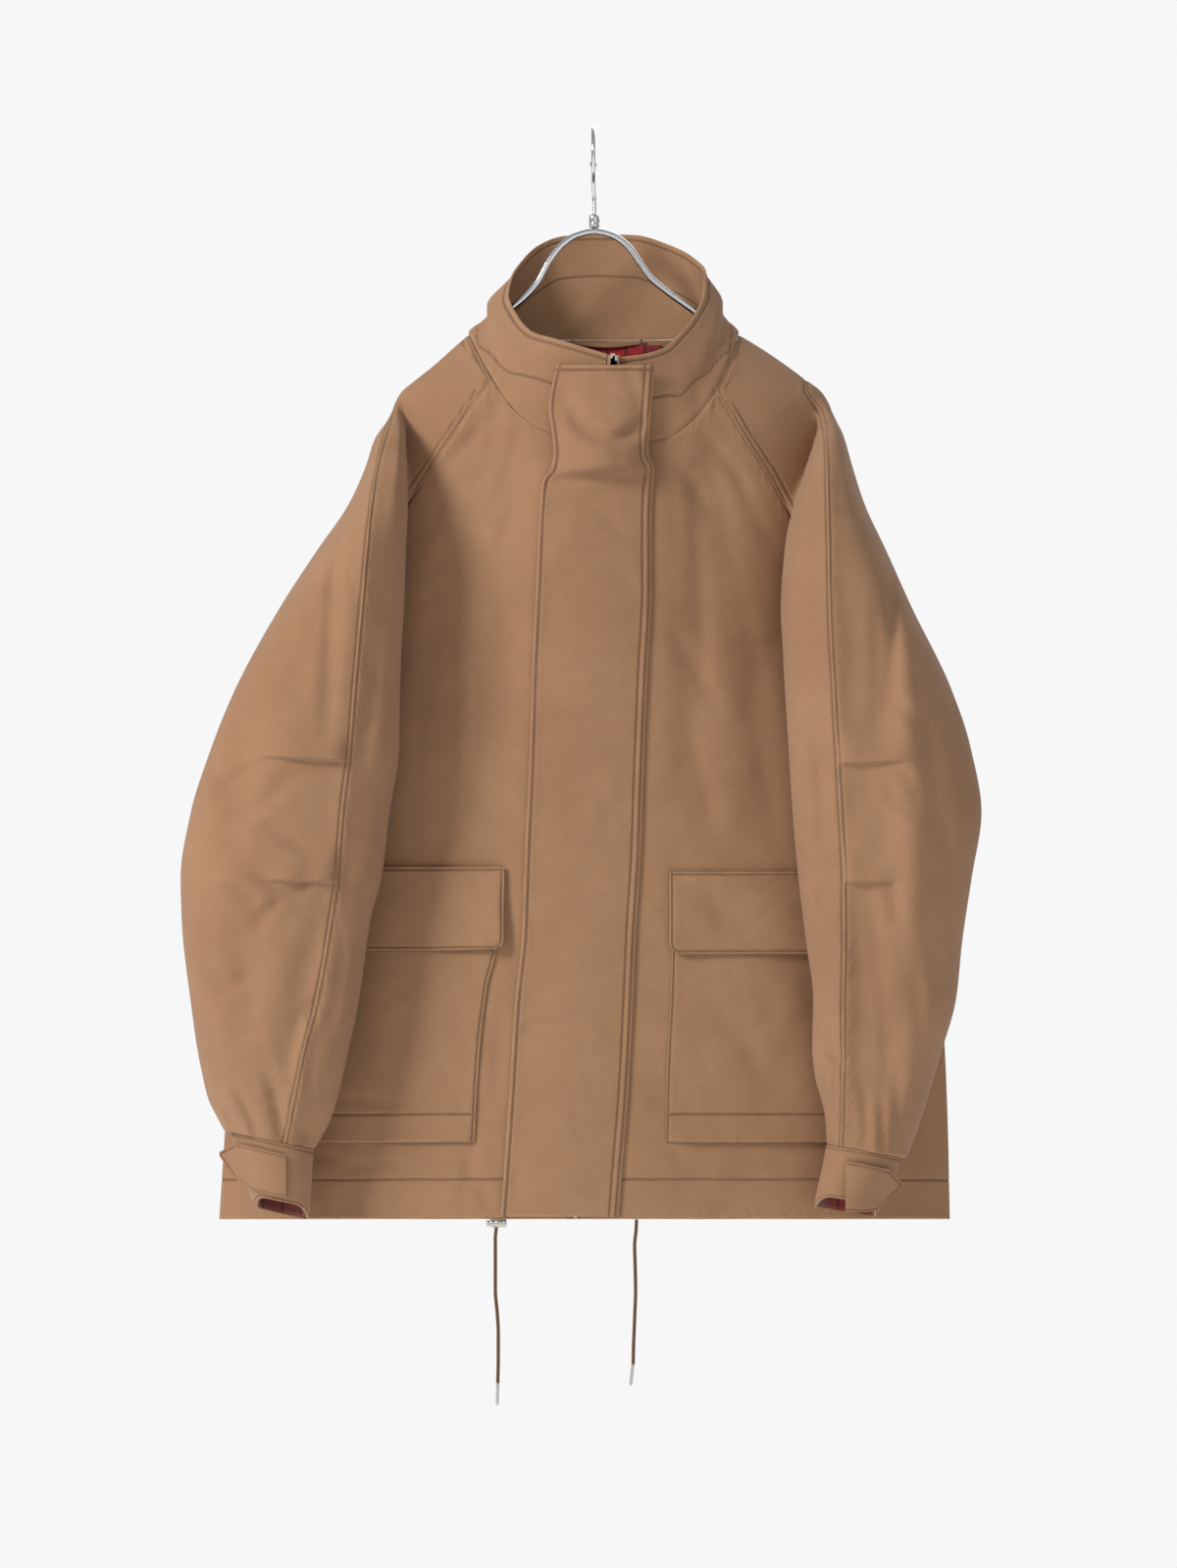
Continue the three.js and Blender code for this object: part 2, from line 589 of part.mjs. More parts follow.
// Moves a grid's edges back by a gap, so that neighbours stay clear of each other.
function trimmed(rows, gap, closed) {
  const m = rows.length;
  const n = rows[0].length;
  const above = (i) => rows[Math.max(i - 1, 0)];
  const below = (i) => rows[Math.min(i + 1, m - 1)];
  const across = closed ? rows : rows.map((row, i) => drawnIn(
    row,
    setBack(row[0], row[1], above(i)[0], below(i)[0], gap),
    setBack(row[n - 1], row[n - 2], above(i)[n - 1], below(i)[n - 1], gap),
  ));
  const lines = across[0].map((_, j) => {
    const before = closed ? (j + n - 1) % n : Math.max(j - 1, 0);
    const after = closed ? (j + 1) % n : Math.min(j + 1, n - 1);
    const top = setBack(rows[0][j], rows[1][j], rows[0][before], rows[0][after], gap);
    const bottom = setBack(rows[m - 1][j], rows[m - 2][j], rows[m - 1][before], rows[m - 1][after], gap);
    return drawnIn(across.map((row) => row[j]), top, bottom);
  });
  return rows.map((row, i) => row.map((_, j) => lines[j][i]));
}

// Moves only a grid's outermost points in, by a bevel or part of the way to the next point.
function narrowed(rows, bevel, closed) {
  const m = rows.length;
  const n = rows[0].length;
  const towards = (point, next) => {
    const way = new THREE.Vector3().subVectors(next, point);
    return way.setLength(Math.min(bevel, way.length() * 0.4));
  };
  return rows.map((row, i) => row.map((point, j) => {
    const moved = point.clone();
    if (i === 0) moved.add(towards(point, rows[1][j]));
    if (i === m - 1) moved.add(towards(point, rows[m - 2][j]));
    if (!closed && j === 0) moved.add(towards(point, row[1]));
    if (!closed && j === n - 1) moved.add(towards(point, row[n - 2]));
    return moved;
  }));
}

// A closed wall: the grid is its outer face, and the inner face lies a wall's thickness behind it.
function wallGeometry(rows, outside, { thickness = WALL, closed = false, bevel = 0, normals } = {}) {
  const m = rows.length;
  const n = rows[0].length;
  const facing = facingOf(rows, outside, closed);
  const outer = trimmed(rows, SEAM_GAP / 2, closed);
  const onEdge = (i, j) => i === 0 || i === m - 1 || (!closed && (j === 0 || j === n - 1));
  const outward = outwardNormals(outer, facing, closed).map((row, i) => row.map(
    (own, j) => (normals && onEdge(i, j) ? normals[i][j] : own),
  ));
  const inner = narrowed(outer.map((row, i) => row.map(
    (point, j) => point.clone().addScaledVector(outward[i][j], -thickness),
  )), bevel, closed);
  const positions = [];
  for (const side of [outer, inner]) {
    for (const row of side) {
      for (const point of row) positions.push(point.x, point.y, point.z);
    }
  }
  const index = [];
  const id = (side, i, j) => side * m * n + i * n + (j % n);
  const quad = (a, b, c, d, turned = false) => {
    const [e, f, g, h] = turned ? [b, c, d, a] : [a, b, c, d];
    if (facing > 0) index.push(e, f, g, e, g, h);
    else index.push(e, g, f, e, h, g);
  };
  const across = closed ? n : n - 1;
  for (let i = 0; i + 1 < m; i += 1) {
    for (let j = 0; j < across; j += 1) {
      const next = (j + 1) % n;
      // Both faces are split along the outer face's shorter diagonal.
      const falling = outer[i][j].distanceTo(outer[i + 1][next]);
      const turned = falling > outer[i][next].distanceTo(outer[i + 1][j]);
      quad(id(0, i, j), id(0, i, j + 1), id(0, i + 1, j + 1), id(0, i + 1, j), turned);
      quad(id(1, i, j), id(1, i + 1, j), id(1, i + 1, j + 1), id(1, i, j + 1), turned);
    }
  }
  for (let j = 0; j < across; j += 1) {
    quad(id(0, 0, j), id(1, 0, j), id(1, 0, j + 1), id(0, 0, j + 1));
    quad(id(0, m - 1, j), id(0, m - 1, j + 1), id(1, m - 1, j + 1), id(1, m - 1, j));
  }
  if (!closed) {
    for (let i = 0; i + 1 < m; i += 1) {
      quad(id(0, i, 0), id(0, i + 1, 0), id(1, i + 1, 0), id(1, i, 0));
      quad(id(0, i, n - 1), id(1, i, n - 1), id(1, i + 1, n - 1), id(0, i + 1, n - 1));
    }
  }
  const geometry = new THREE.BufferGeometry();
  geometry.setAttribute("position", new THREE.Float32BufferAttribute(positions, 3));
  geometry.setIndex(index);
  geometry.computeVertexNormals();
  return geometry;
}

const jacket = new THREE.Group();
const shell = []; // the panels that are sewn edge to edge

function add(name, geometry, material) {
  const mesh = new THREE.Mesh(geometry, material);
  mesh.name = name;
  jacket.add(mesh);
  return mesh;
}

function addPanel(name, rows, outside) {
  shell.push({ name, rows, outside });
}

// From a point on a grid's edge towards the grid's inside
function inwards(rows, i, j) {
  const m = rows.length;
  const n = rows[0].length;
  const nextI = Math.min(Math.max(i, 1), m - 2);
  const nextJ = Math.min(Math.max(j, 1), n - 2);
  return new THREE.Vector3().subVectors(rows[nextI][nextJ], rows[i][j]).normalize();
}

// Panels that meet at a point share its normal, so that their walls meet there too. Where one is
// folded back over the other, each keeps its own.
function closeShell() {
  const key = (point) => point.toArray().map((value) => Math.round(value * 10)).join(" ");
  const shared = new Map();
  for (const panel of shell) {
    panel.normals = outwardNormals(panel.rows, facingOf(panel.rows, panel.outside, false), false);
    panel.rows.forEach((row, i) => row.forEach((point, j) => {
      const sum = shared.get(key(point)) ?? new THREE.Vector3();
      shared.set(key(point), sum.add(panel.normals[i][j]));
    }));
  }
  for (const { name, rows, outside, normals } of shell) {
    const shares = rows.map((row, i) => row.map((point, j) => {
      const own = normals[i][j];
      const sum = shared.get(key(point)).clone();
      const others = sum.clone().sub(own);
      const foldedBack = others.length() > 0.1 && others.normalize().dot(inwards(rows, i, j)) > FOLDED_BACK;
      return foldedBack ? own : sum.normalize();
    }));
    add(name, wallGeometry(rows, outside, { bevel: SEAM_BEVEL, normals: shares }), CLOTH);
  }
}

// Seams shared by the panels
const joins = {
  right: {
    neck: collarSamples(0, COLLAR_JOIN.frontRight),
    front: raglanSamples(RAGLAN.right.front),
    shoulderFront: collarSamples(COLLAR_JOIN.ridgeRight, COLLAR_JOIN.frontRight),
    shoulderBack: collarSamples(COLLAR_JOIN.ridgeRight, COLLAR_JOIN.backRight),
    back: raglanSamples(RAGLAN.right.back),
  },
  left: {
    neck: collarSamples(COLLAR_JOIN.end, COLLAR_JOIN.frontLeft),
    front: raglanSamples(RAGLAN.left.front),
    shoulderFront: collarSamples(COLLAR_JOIN.ridgeLeft, COLLAR_JOIN.frontLeft),
    shoulderBack: collarSamples(COLLAR_JOIN.ridgeLeft, COLLAR_JOIN.backLeft),
    back: raglanSamples(RAGLAN.left.back),
  },
};

function frontPanel(side) {
  const sign = side === "right" ? -1 : 1;
  const edge = (z) => closureX(z) + sign * ZIP_HALF;
  const tops = [...joins[side].neck, ...joins[side].front.slice(1)];
  tops[0] = { x: edge(tops[0].z), z: tops[0].z };
  const width = (z) => body[side](Math.max(z, ARMPIT)) - edge(Math.max(z, ARMPIT));
  const list = tops.map((top, j) => {
    const start = (top.x - edge(top.z)) / width(top.z);
    const end = j / (tops.length - 1);
    const at = (z) => frontPoint(edge(z) + width(z) * mix(start, end, ramp(top.z, 900, z)), z);
    return { top: top.z, at };
  });
  addPanel(`front_${side}`, columnGrid(list, BODY_LEVELS, BODY_TOP), FORWARD);
}

function backPanel() {
  const neck = collarSamples(COLLAR_JOIN.backRight, COLLAR_JOIN.backLeft);
  const tops = [
    ...joins.right.back.slice(1).reverse(),
    ...neck,
    ...joins.left.back.slice(1),
  ];
  const edge = (z) => body.right(Math.max(z, ARMPIT));
  const width = (z) => body.left(Math.max(z, ARMPIT)) - edge(z);
  const list = tops.map((top, j) => {
    const start = (top.x - edge(top.z)) / width(top.z);
    const end = j / (tops.length - 1);
    const at = (z) => backPoint(edge(z) + width(z) * mix(start, end, ramp(top.z, 900, z)), z);
    return { top: top.z, at };
  });
  addPanel("back", columnGrid(list, BODY_LEVELS, BODY_TOP), BACKWARD);
}

// Sleeve sections: stations round each half, for the shoulder, the hanging part and the tube
function sleeveSections(side) {
  const at = columns(SLEEVE[side]);
  const sign = side === "right" ? 1 : -1; // the inner edge is at larger x on the right sleeve
  const frontSeam = [...joins[side].shoulderFront, ...joins[side].front.slice(1)];
  const backSeam = [...joins[side].shoulderBack, ...joins[side].back.slice(1)];
  const frontX = lineByHeight(frontSeam);
  const backX = lineByHeight(backSeam);

  function ring(z, angle) {
    const middle = (at.inner(z) + at.outer(z)) / 2;
    const reach = Math.abs(at.inner(z) - at.outer(z)) / 2;
    const turn = THREE.MathUtils.degToRad(angle);
    return [middle + sign * reach * Math.cos(turn), at.centre(z) - at.half(z) * Math.sin(turn)];
  }

  function seamAngle(z) {
    const middle = (at.inner(z) + at.outer(z)) / 2;
    const reach = Math.abs(at.inner(z) - at.outer(z)) / 2;
    const share = Math.min(Math.max((sign * (at.seam(z) - middle)) / reach, -1), 1);
    return THREE.MathUtils.radToDeg(Math.acos(share));
  }

  // On the shoulder, angles run from the front seam (positive) over the ridge to the back seam.
  function shoulder(z, turn) {
    const { mid, half } = bodyAt(z);
    const x = mid - sign * half * Math.cos(turn);
    return [x, turn > 0 ? frontY(x, z) : backY(x, z)];
  }

  function shoulderTurn(x, z) {
    const { mid, half } = bodyAt(z);
    return Math.acos(Math.min(Math.max((sign * (mid - x)) / half, -1), 1));
  }

  // The front half runs from the front seam to the overarm seam. High up, its cloth lies on the
  // body's surface as far as the sleeve's inner edge. Lower down it comes forward at once.
  function frontHalf(z) {
    const x0 = frontX(z);
    const angle = seamAngle(z);
    const under = underarm(z);
    const seam = [x0, frontY(x0, z)];
    const edge = ring(z, -20);
    const turn = ring(z, 0)[0] - sign * EDGE_TUCK;
    const between = (x0 + turn) / 2;
    const forward = ramp(-FOLD_OVER, 0, sign * (turn - x0));
    const station = (x, share) => {
      const flat = [x, frontY(x, z)];
      return flat.map((value, k) => mix(value, mix(seam[k], edge[k], share), forward));
    };
    const hanging = [
      seam, station(between, 0.33), station(turn, 0.67), edge,
      ring(z, 0), ring(z, angle / 2), ring(z, angle),
    ];
    const closed = [under, under * 0.66, under * 0.4, under * 0.2, 0, angle / 2, angle];
    return blended(z, shoulderTurn(x0, z), shoulderTurn(at.seam(z), z), hanging, closed);
  }

  // The back half runs from the overarm seam to the back seam.
  function backHalf(z) {
    const x1 = backX(z);
    const angle = seamAngle(z);
    const end = 360 + underarm(z);
    const corner = [at.backX(z), at.backY(z)];
    const middle = x1 * 0.45 + corner[0] * 0.55;
    const hanging = [
      ring(z, angle), ring(z, mix(angle, 180, 0.4)), ring(z, mix(angle, 180, 0.75)), ring(z, 180),
      corner, [middle, (backY(middle, z) + corner[1]) / 2], [x1, backY(x1, z)],
    ];
    const closed = [angle, mix(angle, 180, 0.4), mix(angle, 180, 0.75), 180, 228, mix(228, end, 0.5), end];
    return blended(z, shoulderTurn(at.seam(z), z), -shoulderTurn(x1, z), hanging, closed);
  }

  function blended(z, turnFrom, turnTo, hanging, closed) {
    const hang = ramp(TIP.from, TIP.to, z);
    const close = Math.min(Math.max((z - TUBE.from) / (TUBE.to - TUBE.from), 0), 1);
    const loose = sectionCurve(hanging);
    const tubular = sectionCurve(closed.map((angle) => ring(z, angle)));
    return (share) => {
      const over = shoulder(z, mix(turnFrom, turnTo, share));
      const below = loose(share);
      const tube = tubular(share);
      return [0, 1].map((k) => mix(mix(over[k], below[k], hang), tube[k], close));
    };
  }

  return { frontSeam, backSeam, frontHalf, backHalf };
}

// A smooth curve through a section's stations, by share of its length
function sectionCurve(stations) {
  const lengths = [0];
  for (let k = 1; k < stations.length; k += 1) {
    const dx = (stations[k][0] - stations[k - 1][0]) * MM_PER_UNIT;
    const dy = stations[k][1] - stations[k - 1][1];
    lengths.push(lengths[k - 1] + Math.max(Math.hypot(dx, dy), 0.01));
  }
  const total = lengths[lengths.length - 1];
  const x = smooth(lengths, stations.map((point) => point[0]));
  const y = smooth(lengths, stations.map((point) => point[1]));
  return (share) => [x(share * total), y(share * total)];
}

// The sleeve's end and the cuff hang askew: the side at larger x is lower.
function askew(side, x, z) {
  const { slope, rows } = CUFF[side];
  const middle = (rows[0].inner + rows[0].outer) / 2;
  const start = rows[0].z;
  return z + slope * (x - middle) * ramp(start - 110, start, z);
}

function sleevePanel(side, half) {
  const sections = sleeveSections(side);
  const seam = half === "front" ? sections.frontSeam : sections.backSeam;
  const indexAt = indexByHeight(seam);
  const end = CUFF[side].rows[0].z;
  const list = seam.map((top, k) => {
    const at = (z) => {
      const start = indexAt(z);
      const share = start > 1e-6 ? Math.min(k / start, 1) : 0;
      // share runs from the overarm seam (0) to the seam with the body (1)
      const curve = half === "front" ? sections.frontHalf(z) : sections.backHalf(z);
      const [x, y] = curve(half === "front" ? 1 - share : share);
      const seen = half === "front" ? ramp(0.05, 0.35, 1 - share) : ramp(0.6, 0.3, share);
      const pushed = y + (foldDepth(SLEEVE_FOLDS, x, z) - tuckRise(x, z)) * seen * ramp(500, 600, z);
      return [x, pushed, askew(side, x, z)];
    };
    return { top: top.z, at };
  });
  const levels = [...SLEEVE_LEVELS, end];
  const rows = columnGrid(list, levels, SLEEVE_TOP);
  const outer = side === "right" ? [-1, 0, 0] : [1, 0, 0];
  addPanel(`sleeve_${half}_${side}`, rows, half === "front" ? FORWARD : outer);
}

function collar() {
  const rows = [];
  const steps = COLLAR_JOIN.end * 2;
  for (const up of [1, 0.8, 0.6, 0.4, 0.2, 0]) {
    const row = [];
    for (let j = 0; j <= steps; j += 1) {
      const t = (j / steps) * COLLAR_JOIN.end;
      row.push(place(collarPoint(t, up)));
    }
    rows.push(row);
  }
  addPanel("collar", rows, BACKWARD);
}

// The surface that lies over the collar's front and both fronts
function closureY(x, z) {
  const middle = closureX(z);
  const overCollar = -78 + 7 * ((x - middle) / 56) ** 2;
  return mix(overCollar, frontY(x, z), ramp(452, 505, z));
}

function stormFlap() {
  const at = columns(FLAP);
  const thickness = 2.4;
  const rows = FLAP.map(({ z }) => {
    const row = [];
    for (let j = 0; j <= 5; j += 1) {
      const x = mix(at.x0(z), at.x1(z), j / 5);
      const swell = Math.sin(Math.PI * Math.min(Math.max(j / 5, 0.12), 0.88));
      row.push(place([x, closureY(x, z) - LIFT - thickness - at.bulge(z) * swell, z]));
    }
    return row;
  });
  add("storm_flap", wallGeometry(rows, FORWARD, { thickness }), CLOTH);
}

function zip() {
  const rows = [];
  for (const z of [366, 395, 425, 450, 480, 520, ...BODY_LEVELS.slice(0, -1), 1236]) {
    const row = [];
    for (let j = 0; j <= 1; j += 1) {
      const x = closureX(z) + mix(-ZIP_HALF + 0.6, ZIP_HALF - 0.6, j);
      row.push(place([x, closureY(x, z) + 1, z]));
    }
    rows.push(row);
  }
  add("zip", wallGeometry(rows, FORWARD, { thickness: 1.2 }), CLOTH);
}

function pocket(side) {
  const at = columns(POCKET[side]);
  const rows = [900, 935, 973, 1006, 1046, 1086, 1126, 1165].map((z) => {
    const row = [];
    for (let j = 0; j <= 6; j += 1) {
      const x = mix(at.inner(z), at.outer(z), j / 6);
      row.push(place([x, frontY(x, z) - LIFT - WALL, z]));
    }
    return row;
  });
  add(`pocket_${side}`, wallGeometry(rows, FORWARD), CLOTH);
}

function pocketFlap(side) {
  const { inner, outer, top, bottom } = POCKET_FLAP[side];
  const sign = side === "right" ? -1 : 1;
  const rows = [top, top + 24, top + 48, bottom - 12, bottom - 6, bottom - 2, bottom].map((z) => {
    const down = Math.max(z - (bottom - FLAP_CORNER), 0);
    const inset = FLAP_CORNER - Math.sqrt(Math.max(FLAP_CORNER ** 2 - down ** 2, 0));
    const row = [];
    for (let j = 0; j <= 6; j += 1) {
      const x = mix(inner + sign * inset, outer - sign * inset, j / 6);
      row.push(place([x, frontY(x, z) - POCKET_FLAP_LIFT - WALL, z]));
    }
    return row;
  });
  add(`pocket_flap_${side}`, wallGeometry(rows, FORWARD), CLOTH);
}

// Cuffs, their tabs and the lining in their mouths
function cuffRing(side, z, angle, inset = 0) {
  const at = columns(CUFF[side].rows);
  const sign = side === "right" ? 1 : -1;
  const middle = (at.inner(z) + at.outer(z)) / 2;
  const reach = Math.abs(at.inner(z) - at.outer(z)) / 2 - inset / MM_PER_UNIT;
  const x = middle + sign * reach * Math.cos(angle);
  const y = at.centre(z) - (at.half(z) - inset) * Math.sin(angle);
  return [x, y, askew(side, x, z)];
}

function cuff(side) {
  const outward = side === "right" ? [-1, 0, 0] : [1, 0, 0];
  const around = 22;
  const cuffRows = CUFF[side].rows;
  const first = cuffRows[0].z;
  const last = cuffRows[cuffRows.length - 1].z;
  const ringRows = (heights, inset) => heights.map((z) => {
    const row = [];
    for (let j = 0; j < around; j += 1) {
      row.push(place(cuffRing(side, z, (2 * Math.PI * j) / around, inset)));
    }
    return row;
  });
  const outer = ringRows([first, mix(first, last, 0.33), mix(first, last, 0.66), last], 0);
  add(`cuff_${side}`, wallGeometry(outer, outward, { closed: true }), CLOTH);
  const inner = ringRows([mix(first, last, 0.3), mix(first, last, 0.66), last - 2], WALL + 1);
  const lining = wallGeometry(inner, outward, { thickness: LINING_WALL, closed: true });
  add(`cuff_lining_${side}`, lining, PLAID);
}

function cuffTab(side) {
  const at = columns(CUFF[side].rows);
  const thickness = 2;
  const rows = [0, 0.5, 1].map((down) => CUFF_TAB[side].map(({ x, top, bottom }) => {
    const z = mix(top, bottom, down);
    const middle = (at.inner(z) + at.outer(z)) / 2;
    const reach = Math.abs(at.inner(z) - at.outer(z)) / 2;
    const u = Math.min(Math.abs(x - middle) / reach, 0.72);
    const y = at.centre(z) - at.half(z) * Math.sqrt(1 - u * u) - LIFT - thickness - TAB_STAND[side];
    const past = Math.max(Math.abs(x - middle) / reach - 0.72, 0);
    return place([x, y + past * 14, z]);
  }));
  add(`cuff_tab_${side}`, wallGeometry(rows, FORWARD, { thickness }), CLOTH);
}

// What shows inside the neck
function neckLining() {
  const rows = [352, 378, 404, 430].map((z) => {
    const row = [];
    for (let j = 0; j <= 8; j += 1) {
      const x = mix(545, 675, j / 8);
      row.push(place([x, backY(x, z) - WALL - 2.2, z]));
    }
    return row;
  });
  add("neck_lining", wallGeometry(rows, FORWARD, { thickness: LINING_WALL }), PLAID);
}

function hangerLoop() {
  const rows = [346.5, 350.5].map((z) => {
    const row = [];
    for (let j = 0; j <= 6; j += 1) {
      const x = mix(583, 655, j / 6);
      const stand = 5 + 3 * Math.sin((Math.PI * j) / 6);
      row.push(place([x, backY(x, z) - stand, z + 4 * Math.sin((Math.PI * j) / 6)]));
    }
    return row;
  });
  add("hanger_loop", wallGeometry(rows, FORWARD, { thickness: 1.2 }), CLOTH);
}

// Round bars, wires and cords
function tube(path, diameter, steps, sides) {
  const ring = new THREE.Shape();
  for (let k = 0; k < sides; k += 1) {
    const turn = (2 * Math.PI * k) / sides;
    const x = (diameter / 2) * Math.cos(turn);
    const y = (diameter / 2) * Math.sin(turn);
    if (k === 0) ring.moveTo(x, y);
    else ring.lineTo(x, y);
  }
  ring.closePath();
  const curve = new THREE.CatmullRomCurve3(path, false, "centripetal");
  const sweep = { steps, extrudePath: curve, bevelEnabled: false, curveSegments: 1 };
  return new THREE.ExtrudeGeometry(ring, sweep);
}

function gridPath(points, y) {
  return points.map(([x, z]) => place([x, y, z]));
}

function hanger() {
  add("hanger_bar", tube(gridPath(BAR_PATH, 0), BAR_DIAMETER, 44, 8), CHROME);
  const top = place([606, 0, FERRULE.top]);
  const bottom = place([606, 0, FERRULE.bottom - 0.4]);
  const height = top.z - bottom.z;
  const ferrule = new THREE.CylinderGeometry(FERRULE.diameter / 2, FERRULE.diameter / 2, height, 16);
  ferrule.rotateX(Math.PI / 2);
  const mesh = add("hanger_ferrule", ferrule, CHROME);
  mesh.position.set(top.x, 0, (top.z + bottom.z) / 2);
  const centre = HOOK_WIRE / 2 - HOOK_RADIUS;
  const path = [
    new THREE.Vector3(top.x, 0, top.z + 0.4),
    new THREE.Vector3(top.x, 0, -62),
    new THREE.Vector3(0, -7, -48),
    new THREE.Vector3(0, -17.5, -36),
  ];
  for (const angle of [180, 150, 120, 90, 60, 30, 0, -12]) {
    const turn = THREE.MathUtils.degToRad(angle);
    path.push(new THREE.Vector3(0, HOOK_RADIUS * Math.cos(turn), centre + HOOK_RADIUS * Math.sin(turn)));
  }
  add("hanger_hook", tube(path, HOOK_WIRE, 30, 8), CHROME);
}

// The hem's drawcords with their metal tips, and the lock on the right one
function drawcords() {
  for (const side of ["right", "left"]) {
    const { y, path } = CORDS[side];
    const points = gridPath(path, y);
    const length = new THREE.CatmullRomCurve3(points).getLength();
    add(`drawcord_${side}`, tube(points, CORD_DIAMETER, Math.round(length / 8), 8), CORD);
    add(`aglet_${side}`, tube(gridPath(AGLETS[side], y), AGLET_DIAMETER, 1, 8), METAL);
  }
}

// The lock: a barrel that the cord runs up into, and its push button at the right end
function cordLock() {
  const at = (x, z) => place([x, CORDS.right.y, z]);
  const barrel = new THREE.CylinderGeometry(LOCK.diameter / 2, LOCK.diameter / 2, LOCK.length, 16);
  barrel.rotateZ(Math.PI / 2);
  const middle = at(LOCK.x, LOCK.z);
  add("cord_lock", barrel, METAL).position.copy(middle);
  const button = new THREE.CylinderGeometry(LOCK.button / 2, LOCK.button / 2, LOCK.travel, 12);
  button.rotateZ(Math.PI / 2);
  const end = add("cord_lock_button", button, METAL);
  end.position.copy(middle).setX(middle.x - LOCK.length / 2 - LOCK.travel / 2 - SEAM_GAP);
}

hanger();
collar();
frontPanel("right");
frontPanel("left");
backPanel();
for (const side of ["right", "left"]) {
  sleevePanel(side, "front");
  sleevePanel(side, "back");
  pocket(side);
  pocketFlap(side);
  cuff(side);
  cuffTab(side);
}
closeShell();
stormFlap();
zip();
neckLining();
hangerLoop();
drawcords();
cordLock();

export default jacket;
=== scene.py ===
"""Field jacket on a wire hanger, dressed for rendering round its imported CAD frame.

Tables hold positions on the photograph's grid (x to the right, z down, in grid units) and depths
in millimetres. place() turns them into points, and every mesh is written in metres. "right" and
"left" are the wearer's. The jacket's front faces -Y, and its hook bears at the origin.
"""

import math

import bpy
import numpy as np
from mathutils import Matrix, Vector


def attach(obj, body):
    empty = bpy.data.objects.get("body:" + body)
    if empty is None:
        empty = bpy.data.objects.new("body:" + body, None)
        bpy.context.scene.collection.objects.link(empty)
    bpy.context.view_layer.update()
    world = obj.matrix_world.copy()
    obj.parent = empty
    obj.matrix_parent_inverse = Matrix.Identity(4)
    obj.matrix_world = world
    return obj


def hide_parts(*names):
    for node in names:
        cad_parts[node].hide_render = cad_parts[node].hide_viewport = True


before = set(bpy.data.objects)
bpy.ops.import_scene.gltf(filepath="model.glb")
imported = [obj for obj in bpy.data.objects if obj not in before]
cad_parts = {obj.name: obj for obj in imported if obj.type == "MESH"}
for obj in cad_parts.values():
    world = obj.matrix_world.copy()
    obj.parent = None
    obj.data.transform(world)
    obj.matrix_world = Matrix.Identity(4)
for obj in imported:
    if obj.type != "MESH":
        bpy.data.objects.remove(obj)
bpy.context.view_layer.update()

# Driving dimensions, in millimetres unless they are grid positions
MM_PER_UNIT = 0.86
HOOK_X, HOOK_Z = 605, 133
VIEW_X, VIEW_Z = 600, 799.5
VIEW_DISTANCE = 3000
IMAGE_HEIGHT = 1599
SENSOR = 36
CANVAS_THICKNESS = 1.3
LINING_THICKNESS = 0.8
ARMPIT = 620
LEVEL_START = 672
HEM = 1243
HEM_STITCH = 34  # the casing's row of stitches above the hem
ZIP_HALF = 7
CLOSURE = {"top": 361, "top_x": 626, "hem_x": 585}
FOLD_FREE = 72  # the fronts lie smooth this near the closure's line
NECK_STEPS = 5  # samples between two rows of the collar's table
RAGLAN_STEPS = 44  # samples along a raglan seam
TOP_ROWS = 62  # rows of a panel above LEVEL_START
LOWER_ROWS = 118  # and below it
BAR_RADIUS = 3.0
WIRE_RADIUS = 1.75
HOOK_RADIUS = 22.75
CORD_RADIUS = 1.5
STITCH = {"pitch": 3.3, "length": 2.5, "width": 0.42, "height": 0.34}
ROW_DENT = 0.55  # how deep a row of stitches draws the cloth in


def table(names, rows):
    """Columns by name from rows of numbers."""
    return dict(zip(names.split(), np.array(rows, float).T))


# The body's cross-section by height: its sides, how deep front and back stand, and how thin it
# runs out to the sides
BODY = table("z right left front back edge", [
    (341, 477, 754, 46, 44, 0.71), (355, 461, 777, 50, 45, 0.71), (372, 442, 802, 54, 46, 0.71),
    (388, 422, 823, 58, 47, 0.72), (400, 408, 838, 61, 48, 0.73), (415, 401, 846, 64, 48, 0.75),
    (440, 396, 848, 68, 49, 0.73), (475, 390, 846, 70, 50, 0.73), (515, 383, 843, 71, 51, 0.73),
    (560, 374, 843, 72, 52, 0.73), (620, 360, 846, 72, 52, 0.72), (655, 357, 849, 72, 52, 0.74),
    (700, 330, 876, 70, 52, 0.80), (800, 282, 924, 68, 51, 0.85), (900, 255, 950, 67, 50, 0.84),
    (1054, 236, 963, 65, 48, 0.80), (1150, 229, 967, 64, 46, 0.78), (1243, 223, 969, 62, 44, 0.75),
])

# The collar from its right end, round the back, to its left end: seam, rim, rim depth, bulge
COLLAR = table("seam_x seam_z rim_x rim_z rim_y bulge", [
    (614.7, 453, 619, 361, -74, 1), (588, 450, 593, 353, -70, 2), (556, 440, 566, 345, -62, 4),
    (524, 418, 543, 338, -50, 5), (501, 386, 526, 320, -33, 4), (487, 361, 517, 299, -14, 3),
    (477, 341, 521, 281, 4, 2), (499, 344, 531, 266, 20, 2), (530, 346, 547, 251, 34, 2),
    (568, 347, 574, 241, 45, 2), (610, 347, 610, 239, 49, 2), (650, 347, 648, 240, 45, 2),
    (690, 346, 681, 249, 34, 3), (724, 343, 707, 262, 19, 1), (754, 341, 720, 277, 3, 0),
    (745, 363, 719, 297, -16, 1), (730, 398, 709, 320, -35, 3), (707, 428, 693, 340, -50, 5),
    (685, 444, 678, 354, -61, 3), (660, 451, 656, 361, -70, 2), (628.7, 454, 633, 364, -74, 1),
])
